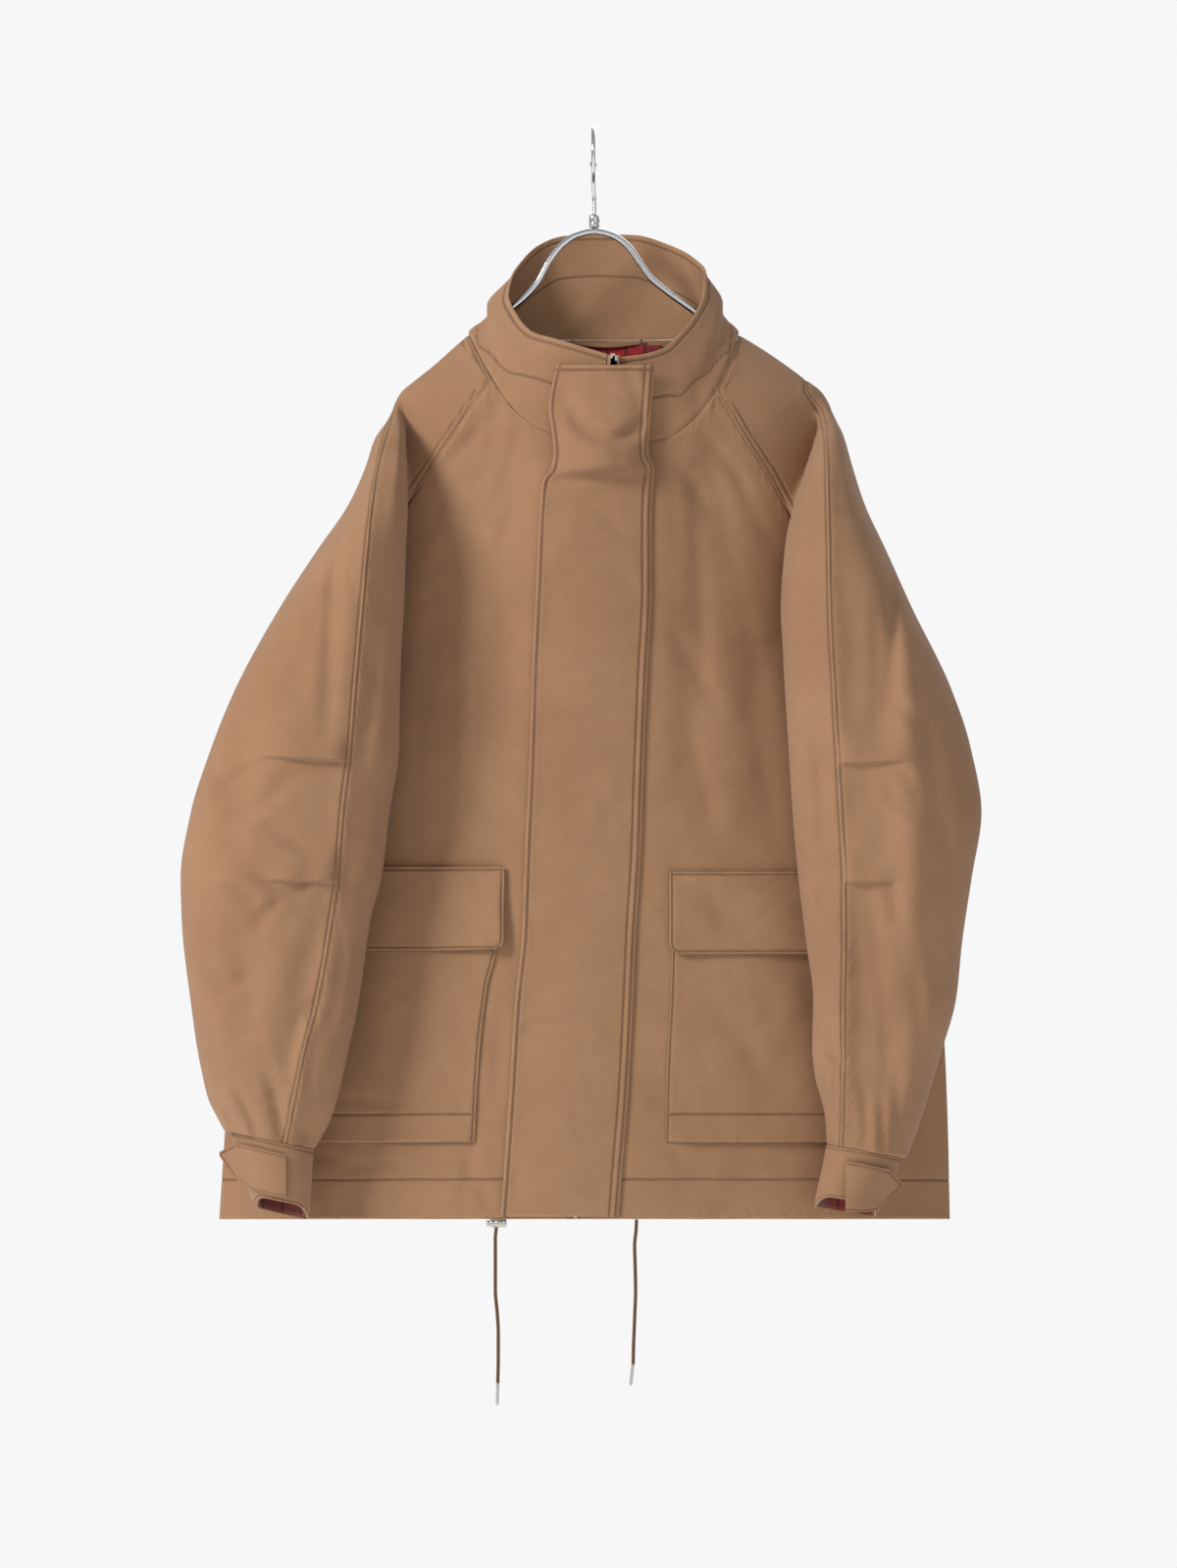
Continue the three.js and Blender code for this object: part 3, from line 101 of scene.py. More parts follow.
JOIN = {"front_right": 4, "ridge_right": 6, "back_right": 8, "back_left": 12, "ridge_left": 14,
        "front_left": 16, "end": 20}

# The raglan seams from the collar to the armpit
RAGLAN = {
    "right": {
        "front": table("z x", [(386, 501), (425, 475), (475, 441), (515, 416), (560, 389),
                               (595, 370), (ARMPIT, 360)]),
        "back": table("z x", [(346, 530), (380, 512), (425, 487), (475, 458), (515, 431),
                              (560, 400), (595, 373), (ARMPIT, 360)]),
    },
    "left": {
        "front": table("z x", [(398, 730), (450, 762), (481, 782), (529, 807), (565, 825),
                               (595, 839), (ARMPIT, 846)]),
        "back": table("z x", [(346, 690), (380, 706), (425, 731), (475, 760), (515, 786),
                              (560, 812), (595, 834), (ARMPIT, 846)]),
    },
}

# Each sleeve: inner edge, overarm seam, outer edge, the centre's depth and the half-depth
SLEEVE = {
    "right": table("z inner seam outer centre half", [
        (400, 411, 403, 404, -9, 9), (425, 413, 397, 395, -22, 24), (450, 414, 390, 381, -32, 36),
        (475, 415, 384, 373, -41, 46), (515, 416, 378, 355, -53, 56), (560, 414, 374, 324, -64, 60),
        (620, 412, 369, 285, -75, 58), (700, 408, 362, 241, -83, 54), (763, 407, 357, 215, -87, 50),
        (830, 397, 349, 194, -88, 47), (895, 389, 344, 184, -88, 45), (937, 378, 338, 185, -87, 44),
        (1020, 366, 323, 194, -84, 42), (1095, 349, 304, 205, -79, 38), (1130, 338, 297, 212, -76, 35),
        (1164, 320, 290, 229, -73, 30),
    ]),
    "left": table("z inner seam outer centre half", [
        (400, 836, 822, 840, -9, 9), (425, 836, 838, 853, -21, 23), (450, 830, 842, 862, -32, 36),
        (475, 822, 843, 869, -42, 46), (515, 809, 844, 882, -54, 57), (560, 800, 845, 903, -65, 61),
        (620, 796, 846, 930, -76, 58), (700, 800, 850, 969, -84, 54), (763, 804, 853, 990, -88, 50),
        (828, 808, 857, 1001, -89, 47), (895, 814, 860, 991, -89, 45), (962, 822, 861, 981, -87, 44),
        (1018, 829, 860, 975, -84, 42), (1069, 828, 860, 961, -81, 39), (1100, 831, 859, 951, -78, 37),
        (1143, 841, 858, 936, -75, 34), (1174, 843, 857, 924, -73, 30),
    ]),
}
# The corner where each sleeve's back leaves the body
SLEEVE_ROOT = {
    "right": table("z back_x back_y", [
        (400, 412, 12), (425, 405, 14), (450, 398, 10), (475, 394, 9), (515, 382, 8), (560, 355, 0),
        (620, 322, -22)]),
    "left": table("z back_x back_y", [
        (400, 834, 12), (425, 843, 13), (450, 849, 10), (475, 851, 9), (515, 856, 8), (560, 868, 0),
        (620, 886, -22)]),
}
EDGE_TUCK = 2  # how far the cloth runs in behind a sleeve's inner edge
FOLD_OVER = 40  # a sleeve laps over its front seam by this before it lies quite flat
TIP = (398, 445)  # heights where the shoulder's oval turns into the hanging sleeve
TUBE = (620, 680)  # heights where the sleeve closes into a tube
UNDERARM = table("z angle", [(ARMPIT, -75), (730, -35)])

# Cuffs as ring sections, and their pointed tabs from the sewn end to the tip
CUFF = {
    "right": table("z inner outer centre half", [
        (1164, 320, 235, -73, 28), (1186, 319, 241, -73, 27), (1214, 317, 251, -72, 25),
        (1236, 315, 261, -71, 23)]),
    "left": table("z inner outer centre half", [
        (1174, 842, 918, -73, 28), (1196, 838, 912, -73, 27), (1220, 833, 901, -72, 25),
        (1239, 830, 893, -71, 23)]),
}
CUFF_SLOPE = {"right": 0.2, "left": 0.17}
CUFF_MOUTH = 12  # how much higher the mouth's front edge hangs than its back edge
CUFF_TAB = {
    "right": table("x top bottom", [(292, 1178, 1222), (274, 1174, 1219), (257, 1170, 1214),
                                    (240, 1166, 1203), (223, 1175, 1179)]),
    "left": table("x top bottom", [(862, 1184, 1236), (878, 1187, 1237), (894, 1190, 1235),
                                   (908, 1193, 1222), (920, 1206, 1210)]),
}
TAB_STAND = {"right": 1.5, "left": 2.5}
TAB_LEAVES = 0.72  # where the tab leaves the cuff's roundness, as a share of its half-width

# The storm flap's edges from the collar's rim to the hem, and how far it bulges there
FLAP = table("z x0 x1 bulge", [
    (372, 567, 668, 0), (388, 563, 667, 0), (416, 559, 665, 2), (440, 562, 663, 5),
    (462, 564, 662, 12), (478, 561, 668, 15), (489, 553, 667, 5), (502, 551, 666, 0),
    (529, 549, 665, 0), (600, 546, 665, 0), (684, 542, 661, 1), (780, 539, 657, 0),
    (869, 535, 654, 1), (951, 532, 649, 0), (1019, 525, 646, 1), (1115, 519, 641, 0),
    (1201, 513, 634, 1), (1241, 510, 631, 0),
])

# Patch pockets by height, and their flaps
POCKET = {
    "right": table("z inner outer", [(900, 510, 306), (973, 505, 300), (1006, 497, 297),
                                     (1086, 488, 290), (1165, 484, 284)]),
    "left": table("z inner outer", [(903, 687, 892), (975, 685, 896), (1010, 684, 898),
                                    (1090, 680, 904), (1168, 678, 910)]),
}
POCKET_FLAP = {
    "right": {"inner": 514, "outer": 302, "top": 884, "bottom": 969},
    "left": {"inner": 683, "outer": 896, "top": 889, "bottom": 973},
}
FLAP_CORNER = 12

# Folds: both ends, how far the middle is bent sideways, half-width, depth (towards the wearer)
CREASE_GAIN = 1.75
FOLD = "x0 z0 x1 z1 bend width depth"
BODY_FOLDS = table(FOLD, [
    (500, 430, 455, 640, 0, 26, 7), (520, 500, 500, 800, 0, 28, 6), (470, 620, 440, 860, 0, 26, 4),
    (722, 450, 745, 620, 0, 26, 7), (700, 560, 712, 820, 0, 28, 5), (770, 620, 775, 860, 0, 26, 4),
])
FRONT_CREASES = table(FOLD, [
    (508, 415, 432, 492, 4, 9, 2.6), (530, 430, 500, 520, 6, 9, 2.4), (545, 470, 512, 560, -6, 10, 2.2),
    (498, 400, 488, 470, 2, 7, -1.6), (470, 470, 420, 560, 3, 12, 1.8), (540, 640, 505, 672, 3, 6, 1.5),
    (455, 560, 430, 700, 0, 14, 1.6), (500, 690, 470, 840, 5, 12, 1.5), (430, 700, 420, 860, 0, 12, 1.3),
    (672, 462, 722, 520, 4, 8, 2.4), (680, 480, 690, 560, 0, 9, 1.6), (715, 440, 760, 500, 3, 9, 1.7),
    (706, 520, 716, 690, 4, 11, 1.9), (752, 470, 790, 560, -4, 10, 1.5), (680, 640, 735, 730, 3, 10, 1.2),
    (760, 640, 790, 840, 0, 14, 1.5), (700, 740, 730, 860, 2, 11, 1.3), (650, 900, 676, 922, 0, 5, 1.1),
    (652, 945, 678, 960, 0, 6, 1.2), (650, 1005, 676, 1020, 1, 6, 1.2), (650, 1060, 677, 1052, 0, 6, 1.0),
    (650, 1105, 680, 1130, 0, 7, 1.3), (652, 1150, 700, 1185, 2, 7, 1.6), (470, 1180, 500, 1235, 2, 6, 1.4),
    (485, 1150, 470, 1240, 0, 6, 1.3), (300, 1180, 365, 1188, 3, 5, 1.5), (340, 1195, 420, 1186, 2, 6, 1.2),
    (690, 1190, 770, 1196, 2, 6, 1.2), (780, 1186, 850, 1196, 0, 6, 1.0), (510, 900, 525, 1000, 2, 7, 1.4),
    (515, 1020, 505, 1120, 0, 7, 1.2), (925, 1060, 935, 1190, 0, 9, 1.6), (905, 1000, 925, 1100, 0, 9, 1.4),
])
BACK_CREASES = table(FOLD, [
    (545, 400, 470, 620, 6, 22, 4), (680, 400, 760, 620, -6, 22, 4), (610, 400, 606, 620, 0, 26, 2.5),
    (430, 560, 420, 860, 0, 22, 3), (790, 560, 800, 860, 0, 22, 3), (540, 640, 520, 980, 5, 24, 2.6),
    (670, 660, 690, 990, -4, 24, 2.6), (470, 900, 430, 1180, 4, 20, 2.4),
    (760, 900, 800, 1180, -4, 20, 2.4), (600, 820, 612, 1180, 3, 22, 2.0),
    (350, 820, 330, 1150, 0, 18, 2.2), (880, 820, 900, 1150, 0, 18, 2.2),
    (500, 430, 560, 470, 4, 9, 1.5), (660, 470, 720, 430, 4, 9, 1.5), (560, 560, 650, 575, 5, 9, 1.0),
])
SLEEVE_FOLDS = table(FOLD, [
    (330, 590, 270, 745, 0, 22, 8), (250, 700, 235, 860, 0, 20, 7), (250, 930, 245, 1100, 0, 20, 6),
    (330, 930, 290, 1110, 0, 18, 5), (925, 660, 930, 960, 0, 18, -9), (895, 640, 893, 760, 0, 18, 6),
    (880, 930, 885, 1120, 0, 18, 7), (925, 990, 905, 1130, 0, 18, 6),
])
SLEEVE_CREASES = table(FOLD, [
    (347, 520, 333, 747, -3, 7, 2.6), (356, 600, 344, 740, 2, 6, -1.4), (222, 806, 276, 776, 3, 7, 2.6),
    (232, 838, 290, 800, -3, 8, 2.0), (258, 836, 312, 868, 4, 7, 2.8), (232, 902, 262, 926, 2, 6, 2.8),
    (240, 880, 285, 905, 2, 7, 2.0), (262, 945, 288, 915, 2, 7, 2.6), (318, 880, 300, 920, 0, 6, 1.8),
    (210, 980, 230, 1010, 0, 8, 1.8), (222, 1018, 262, 990, 2, 8, 1.8), (300, 1060, 330, 1010, 2, 8, 1.8),
    (272, 1096, 288, 1164, 3, 7, 3.6), (216, 1126, 246, 1166, 2, 6, 3.2), (236, 1110, 262, 1164, 3, 6, 2.4),
    (318, 1100, 303, 1166, 3, 6, 3.6), (332, 1088, 314, 1160, 2, 6, 2.6), (345, 1070, 330, 1120, 2, 6, 2.0),
    (312, 1030, 304, 1130, 0, 7, -1.8), (205, 760, 224, 800, 0, 8, 1.6), (385, 640, 372, 760, 2, 8, 1.6),
    (398, 560, 392, 660, 0, 8, 1.3), (375, 900, 360, 1010, 2, 8, 1.8), (352, 960, 335, 1050, 2, 8, 1.5),
    (908, 585, 909, 712, 3, 7, 4.2), (909, 712, 938, 744, 2, 7, 2.6), (884, 610, 888, 740, 0, 9, -1.6),
    (917, 780, 936, 828, 3, 7, 3.0), (904, 800, 934, 832, -2, 6, 2.2), (960, 826, 966, 905, 2, 7, 2.6),
    (941, 720, 950, 840, 3, 8, 1.8), (906, 902, 914, 940, 2, 6, 3.2), (890, 930, 905, 1120, 4, 8, 2.2),
    (826, 898, 842, 925, 2, 6, 2.6), (808, 866, 834, 890, 1, 7, 1.8), (832, 1058, 857, 1086, 2, 6, 3.0),
    (836, 1020, 850, 1062, 2, 7, 1.6), (838, 1090, 846, 1166, 0, 5, 3.0), (852, 1100, 850, 1172, 0, 5, 2.4),
    (933, 996, 938, 1080, 3, 8, 2.2), (897, 1120, 899, 1176, 2, 5, 3.2), (915, 1090, 911, 1176, 2, 6, 3.0),
    (880, 1110, 882, 1176, 2, 5, 2.2), (928, 1110, 920, 1170, 0, 5, 2.0), (958, 960, 948, 1080, 2, 8, 1.6),
    (812, 640, 826, 760, 0, 8, 1.5), (830, 700, 838, 860, 2, 8, 1.4), (868, 640, 870, 740, 0, 9, 1.2),
    (970, 700, 985, 800, 0, 8, 1.8), (300, 640, 262, 700, 2, 9, 1.6), (955, 620, 968, 690, 0, 8, 1.6),
])
# Elbow tucks: the folded line from the seam outwards. The cloth above stands over it.
TUCKS = table("x0 z0 x1 z1 rise reach", [
    (355, 775, 279, 771, 7, 26), (345, 898, 281, 897, 7, 26),
    (853, 778, 916, 775, 7, 26), (860, 899, 908, 897, 7, 26),
])
FLAP_CREASES = table(FOLD, [
    (584, 428, 624, 449, -3, 7, 4.6), (624, 449, 661, 428, -3, 7, 4.6), (596, 396, 640, 404, 4, 8, 1.4),
    (572, 400, 590, 430, 0, 8, 1.4), (640, 380, 655, 420, 0, 7, 1.2), (556, 493, 660, 488, 4, 7, 3.2),
    (580, 505, 640, 545, 3, 9, 1.4), (560, 520, 600, 530, 0, 8, 1.0), (556, 636, 640, 642, 3, 9, 1.1),
    (600, 560, 655, 610, 2, 12, 0.9), (556, 738, 630, 728, 3, 10, 1.1), (560, 818, 648, 826, 3, 9, 0.9),
    (545, 915, 600, 900, 2, 10, 0.9), (532, 1053, 585, 1040, 2, 8, 1.2), (560, 1000, 640, 985, 3, 11, 0.9),
    (530, 1120, 600, 1135, 2, 11, 0.9), (560, 1180, 626, 1165, 2, 10, 1.0),
])
POCKET_CREASES = table(FOLD, [
    (320, 985, 380, 1110, 6, 20, 2.0), (430, 990, 400, 1130, -4, 22, 1.8),
    (470, 1000, 480, 1120, 0, 14, 1.2), (300, 1120, 470, 1136, 4, 6, 0.9),
    (717, 1020, 783, 1100, 4, 16, 2.2), (820, 985, 860, 1100, 4, 18, 1.8),
    (700, 1040, 730, 1140, 3, 14, 1.4), (690, 1142, 880, 1146, 3, 6, 0.9),
    (330, 905, 400, 955, 3, 16, 0.9),
    (430, 900, 480, 950, 3, 14, 0.9), (710, 905, 760, 960, 3, 14, 1.1), (790, 900, 850, 950, 3, 16, 0.9),
])

# The hanger's bar and the cords on the grid
BAR_PATH = [
    (434, 387), (446.6, 377.4), (465.6, 360.4), (481.7, 346.4), (504, 327.5), (534, 304), (548, 288),
    (559, 268), (573, 250), (588, 240), (606, 236), (624, 240), (639, 250), (651, 266), (664, 284),
    (681, 298), (706, 316), (728, 332), (750.4, 347.1), (773.3, 361.2), (795, 377), (806, 387.5),
]
FERRULE = {"top": 219, "bottom": 232, "radius": 4.5}
CORD_Y = -60
CORDS = {
    "right": [(506, 1252), (505, 1263), (505, 1287), (505, 1316), (507, 1340), (508, 1359),
              (508, 1385), (507.5, 1410)],
    "left": [(649, 1243.7), (648.5, 1254), (647, 1270), (647.5, 1290), (648, 1315), (647, 1345),
             (646, 1370), (645.5, 1391)],
}
AGLETS = {"right": [(507.5, 1410.5), (507, 1433)], "left": [(645.4, 1391.5), (643, 1413)]}
LOCK = {"x": 508, "z": 1247.5, "radius": 3.5, "length": 14, "button": 2.5, "travel": 3}


# Curves, ramps and placing
def smooth(knots, values):
    """A curve through the values that never overshoots them."""
    knots, values = np.asarray(knots, float), np.asarray(values, float)
    step = np.maximum(np.diff(knots), 1e-9)
    rise = np.diff(values) / step
    slopes = np.zeros(len(knots))
    slopes[0], slopes[-1] = rise[0], rise[-1]
    product = rise[:-1] * rise[1:]
    total = np.where(product > 0, rise[:-1] + rise[1:], 1)
    slopes[1:-1] = np.where(product > 0, 2 * product / total, 0)

    def at(q):
        q = np.clip(np.asarray(q, float), knots[0], knots[-1])
        i = np.clip(np.searchsorted(knots, q, side="left") - 1, 0, len(knots) - 2)
        h = knots[i + 1] - knots[i]
        t = (q - knots[i]) / np.maximum(h, 1e-9)
        keep = (1 + 2 * t) * (1 - t) ** 2
        slope = h * t * (1 - t) * ((1 - t) * slopes[i] - t * slopes[i + 1])
        return keep * values[i] + t * t * (3 - 2 * t) * values[i + 1] + slope

    return at


def columns(rows, by="z"):
    return {name: smooth(rows[by], rows[name]) for name in rows if name != by}


def ramp(start, end, at):
    t = np.clip((at - start) / (end - start), 0, 1)
    return t * t * (3 - 2 * t)


def mix(a, b, t):
    return a + (b - a) * t


def place(x, y, z):
    """A grid position and a depth as a point in millimetres."""
    x, y, z = np.broadcast_arrays(np.asarray(x, float), y, z)
    shrink = (VIEW_DISTANCE + y) / VIEW_DISTANCE
    seen_x = VIEW_X + (x - VIEW_X) * shrink
    seen_z = VIEW_Z + (z - VIEW_Z) * shrink
    return np.stack([(seen_x - HOOK_X) * MM_PER_UNIT, y, (HOOK_Z - seen_z) * MM_PER_UNIT], -1)


def fold_depth(folds, x, z):
    """How far a position is pushed towards the wearer by folds."""
    depth = np.zeros(np.broadcast(x, z).shape)
    for x0, z0, x1, z1, bend, width, deep in zip(*(folds[name] for name in FOLD.split())):
        dx, dz = x1 - x0, z1 - z0
        length = math.hypot(dx, dz)
        t = ((x - x0) * dx + (z - z0) * dz) / length**2
        off = ((x - x0) * dz - (z - z0) * dx) / length - bend * 4 * t * (1 - t)
        ends = ramp(-0.25, 0.3, t) * ramp(1.25, 0.7, t)
        depth += deep * ends * np.exp(-((off / width) ** 2))
    return depth


def crease_depth(folds, x, z):
    """Creases: each valley has a low ridge on both sides."""
    wide = dict(folds, width=folds["width"] * 1.9, depth=folds["depth"] * -0.42)
    return CREASE_GAIN * fold_depth(folds, x, z) + fold_depth(wide, x, z)


def tuck_rise(x, z):
    rise = np.zeros(np.broadcast(x, z).shape)
    for x0, z0, x1, z1, high, reach in zip(*(TUCKS[name] for name in "x0 z0 x1 z1 rise reach".split())):
        t = (x - x0) / (x1 - x0)
        above = (mix(z0, z1, t) - z) / reach
        shape = np.where(above >= 0, np.exp(-above * above), np.maximum(1 + above * 9, 0))
        rise += high * shape * ramp(-0.05, 0.2, t) * ramp(1.3, 0.7, t)
    return rise


WAVES = table("along across turn height", [
    (61, 0.3, 0.4, 0.30), (47, 1.9, 1.3, 0.26), (83, 2.7, 2.2, 0.38), (35, 0.9, 2.9, 0.18),
    (29, 2.2, 0.9, 0.14), (118, 1.1, 1.8, 0.50),
])


def unrest(x, z):
    """The slight unevenness of cloth, in millimetres."""
    total = np.zeros(np.broadcast(x, z).shape)
    for along, across, turn, height in zip(*WAVES.values()):
        phase = (x * math.cos(turn) + z * math.sin(turn)) * 2 * math.pi / along + across
        total += height * np.sin(phase + 1.7 * np.sin(phase * 0.37 + across))
    return total


# The body's surfaces
body = columns(BODY)
underarm = smooth(UNDERARM["z"], UNDERARM["angle"])


def closure_x(z):
    down = (np.asarray(z, float) - CLOSURE["top"]) / (HEM - CLOSURE["top"])
    return mix(CLOSURE["top_x"], CLOSURE["hem_x"], down)


def oval(u, edge):
    return np.maximum(1 - u * u, 0) ** edge


def body_share(x, z):
    right, left = body["right"](z), body["left"](z)
    return (x - (right + left) / 2) / ((left - right) / 2)


def front_y(x, z):
    shape = oval(body_share(x, z), body["edge"](z))
    beside = ramp(FOLD_FREE - 25, FOLD_FREE + 20, np.abs(x - closure_x(z)))
    pushed = fold_depth(BODY_FOLDS, x, z) + crease_depth(FRONT_CREASES, x, z) + unrest(x, z)
    return -body["front"](z) * shape + pushed * shape * beside


def back_y(x, z):
    shape = oval(body_share(x, z), body["edge"](z))
    pushed = crease_depth(BACK_CREASES, x, z) + unrest(x + 300, z)
    return body["back"](z) * shape - pushed * shape * ramp(370, 420, z)


# The collar's seam and surface by position along its table
collar_rows = dict(COLLAR, i=np.arange(len(COLLAR["rim_x"])))
collar_at = columns(collar_rows, "i")


def collar_seam(t):
    x, z = collar_at["seam_x"](t), collar_at["seam_z"](t)
    on_back = (t > JOIN["ridge_right"]) & (t < JOIN["ridge_left"])
    return x, np.where(on_back, back_y(x, z), front_y(x, z)), z


def collar_points(t, up):
    x, y, z = collar_seam(t)
    lean = 0.5 * ramp(0, 0.35, up) + 0.5 * ramp(0.5, 1, up)
    swell = np.sin(math.pi * up) * collar_at["bulge"](t)
    out_x, out_y = (x - 614) / 138, y / 60
    reach = np.maximum(np.hypot(out_x, out_y), 1e-6)
    return (
        mix(x, collar_at["rim_x"](t), lean) + swell * out_x / reach / MM_PER_UNIT,
        mix(y, collar_at["rim_y"](t), up) + swell * out_y / reach,
        mix(z, collar_at["rim_z"](t), up),
    )


# Samples of the seams between the collar, the fronts, the sleeves and the back
def collar_samples(start, end):
    t = np.linspace(start, end, abs(end - start) * NECK_STEPS + 1)
    x, _, z = collar_seam(t)
    return np.stack([x, z], -1)


def raglan_samples(rows):
    at = smooth(rows["z"], rows["x"])
    share = np.linspace(0, 1, RAGLAN_STEPS + 1)
    z = mix(rows["z"][0], ARMPIT, 1 - (1 - share) ** 1.25)
    return np.stack([at(z), z], -1)


def seams_of(side):
    rows = RAGLAN[side]
    ridge, front, back = JOIN["ridge_" + side], JOIN["front_" + side], JOIN["back_" + side]
    start = 0 if side == "right" else JOIN["end"]
    neck, raglan = collar_samples(start, front), raglan_samples(rows["front"])
    back_raglan = raglan_samples(rows["back"])
    return {
        "front": np.concatenate([neck, raglan[1:]]),
        "back": back_raglan,
        "sleeve_front": np.concatenate([collar_samples(ridge, front), raglan[1:]]),
        "sleeve_back": np.concatenate([collar_samples(ridge, back), back_raglan[1:]]),
    }


SEAMS = {side: seams_of(side) for side in ("right", "left")}
NEAR_EDGE = [0, 0.18, 0.42, 0.75, 1.2]


def crowded(count, both=True):
    """Sample numbers from 0 to count, closer together at the ends."""
    inner = np.arange(2, count - 1 if both else count + 1)
    tail = [count - near for near in reversed(NEAR_EDGE)] if both else []
    return np.concatenate([NEAR_EDGE, inner, tail])


def sampled(seam, k):
    i = np.arange(len(seam))
    return np.interp(k, i, seam[:, 0]), np.interp(k, i, seam[:, 1])


def column_heights(top, levels):
    """Heights for columns that start at their own tops: rows to LEVEL_START, then level rows."""
    share = np.linspace(0, 1, TOP_ROWS, endpoint=False)[:, None]
    power = mix(1, 1.35, ramp(0, 300, LEVEL_START - top))[None, :]
    upper = mix(top[None, :], LEVEL_START, share**power)
    return np.concatenate([upper, np.repeat(np.asarray(levels)[:, None], len(top), 1)])


def with_rows(rows, lines, scale=1.0):
    """Rows with a finer set round each line, where a row of stitches draws the cloth in."""
    lines = np.asarray(lines, float)
    clear = np.abs(rows[:, None] - lines[None, :]).min(1) > 2.6 * scale
    fine = lines[:, None] + scale * np.array([-2.4, -1.6, -0.9, -0.4, 0, 0.4, 0.9, 1.6, 2.4])[None, :]
    return np.sort(np.concatenate([rows[clear], fine.ravel()]))


HEM_EDGE = [HEM - 2.6, HEM - 1.4, HEM - 0.6, HEM]
BODY_LEVELS = np.concatenate([
    with_rows(np.linspace(LEVEL_START, HEM - 4, LOWER_ROWS), [HEM - HEM_STITCH / MM_PER_UNIT]), HEM_EDGE,
])


# Meshes
def normals_of(points, outside, closed=False):
    """Unit normals of a grid, pointing to the given outside at the grid's middle."""
    across = np.gradient(points, axis=1)
    if closed:
        across = (np.roll(points, -1, 1) - np.roll(points, 1, 1)) / 2
    down = np.gradient(points, axis=0)
    normals = np.cross(across, down)
    normals /= np.maximum(np.linalg.norm(normals, axis=-1, keepdims=True), 1e-9)
    middle = normals[normals.shape[0] // 2, normals.shape[1] // 2]
    facing = 1 if middle @ np.array(outside, float) > 0 else -1
    return normals * facing, facing


def grid_quads(m, n, closed):
    i, j = np.meshgrid(np.arange(m - 1), np.arange(n if closed else n - 1), indexing="ij")
    i, j = i.ravel(), j.ravel()
    after = (j + 1) % n
    return np.stack([i * n + j, i * n + after, (i + 1) * n + after, (i + 1) * n + j], -1)


def mesh_object(name, points, faces, material, uv=None, layers=None):
    """Points in millimetres and faces as an object that rides on the root body."""
    mesh = bpy.data.meshes.new(name)
    mesh.from_pydata((np.asarray(points) / 1000).tolist(), [], [list(map(int, f)) for f in faces])
    mesh.polygons.foreach_set("use_smooth", [True] * len(mesh.polygons))
    if uv is not None:
        loops = np.zeros(len(mesh.loops), int)
        mesh.loops.foreach_get("vertex_index", loops)
        mesh.uv_layers.new(name="cloth").data.foreach_set("uv", uv[loops].ravel())
    for layer, values in (layers or {}).items():
        mesh.attributes.new(layer, "FLOAT", "POINT").data.foreach_set("value", values)
    mesh.materials.append(material)
    mesh.update()
    obj = bpy.data.objects.new(name, mesh)
    bpy.context.scene.collection.objects.link(obj)
    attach(obj, "root")
    return obj


def lengths(points, axis):
    """Running length along a grid's axis."""
    steps = np.linalg.norm(np.diff(points, axis=axis), axis=-1)
    start = np.zeros_like(np.take(steps, [0], axis))
    return np.concatenate([start, np.cumsum(steps, axis)], axis)


def edge_walk(points, edge):
    """The grid turned so that the edge is its first row."""
    turned = {"top": points, "bottom": points[::-1],
              "first": np.swapaxes(points, 0, 1), "last": np.swapaxes(points, 0, 1)[::-1]}
    return turned[edge]


def from_edge(points, edge):
    """How far each grid point is from an edge, measured square to it."""
    grid = edge_walk(points, edge)
    along = np.gradient(grid[0], axis=0)
    along /= np.maximum(np.linalg.norm(along, axis=-1, keepdims=True), 1e-9)
    step = np.diff(grid, axis=0)
    step = step - np.sum(step * along, -1, keepdims=True) * along
    run = np.concatenate([np.zeros((1, grid.shape[1])), np.cumsum(np.linalg.norm(step, axis=-1), 0)])
    run = run[::-1] if edge == "bottom" else run
    if edge == "first":
        run = run.T
    if edge == "last":
        run = run[::-1].T
    return run


def row_line(points, normals, edge, distance):
    """A line of points and normals at a distance from an edge."""
    grid, normal = edge_walk(points, edge), edge_walk(normals, edge)
    run = edge_walk(from_edge(points, edge)[..., None], edge)[..., 0]
    line, facing = [], []
    for j in range(grid.shape[1]):
        if run[-1, j] < distance:
            continue
        i = max(int(np.searchsorted(run[:, j], distance)), 1)
        t = (distance - run[i - 1, j]) / max(run[i, j] - run[i - 1, j], 1e-9)
        line.append(mix(grid[i - 1, j], grid[i, j], t))
        facing.append(mix(normal[i - 1, j], normal[i, j], t))
    return np.array(line), np.array(facing)


stitch_lines = []
FAR = 60.0  # stands for "no edge or row near"


def relief(points, sewn, seams, rolled, roll, sink):
    """How far a wall's outer face is moved at its edges and stitched rows, with the distances to
    the nearest edge and the nearest row."""
    height = np.zeros(points.shape[:2])
    near = np.full(points.shape[:2], FAR)
    for edge in seams:
        away = from_edge(points, edge)
        near = np.minimum(near, away)
        height -= sink * np.exp(-((away / 1.6) ** 2))
    for edge in rolled:
        away = from_edge(points, edge)
        near = np.minimum(near, away)
        inside = np.clip(1 - away / roll, 0, 1)
        height -= roll * (1 - np.sqrt(1 - inside**2))
    stitch = np.full(points.shape[:2], FAR)
    for edge, distance in sewn:
        stitch = np.minimum(stitch, np.abs(from_edge(points, edge) - distance))
    height -= ROW_DENT * np.exp(-((stitch / 1.3) ** 2))
    return height, near, stitch


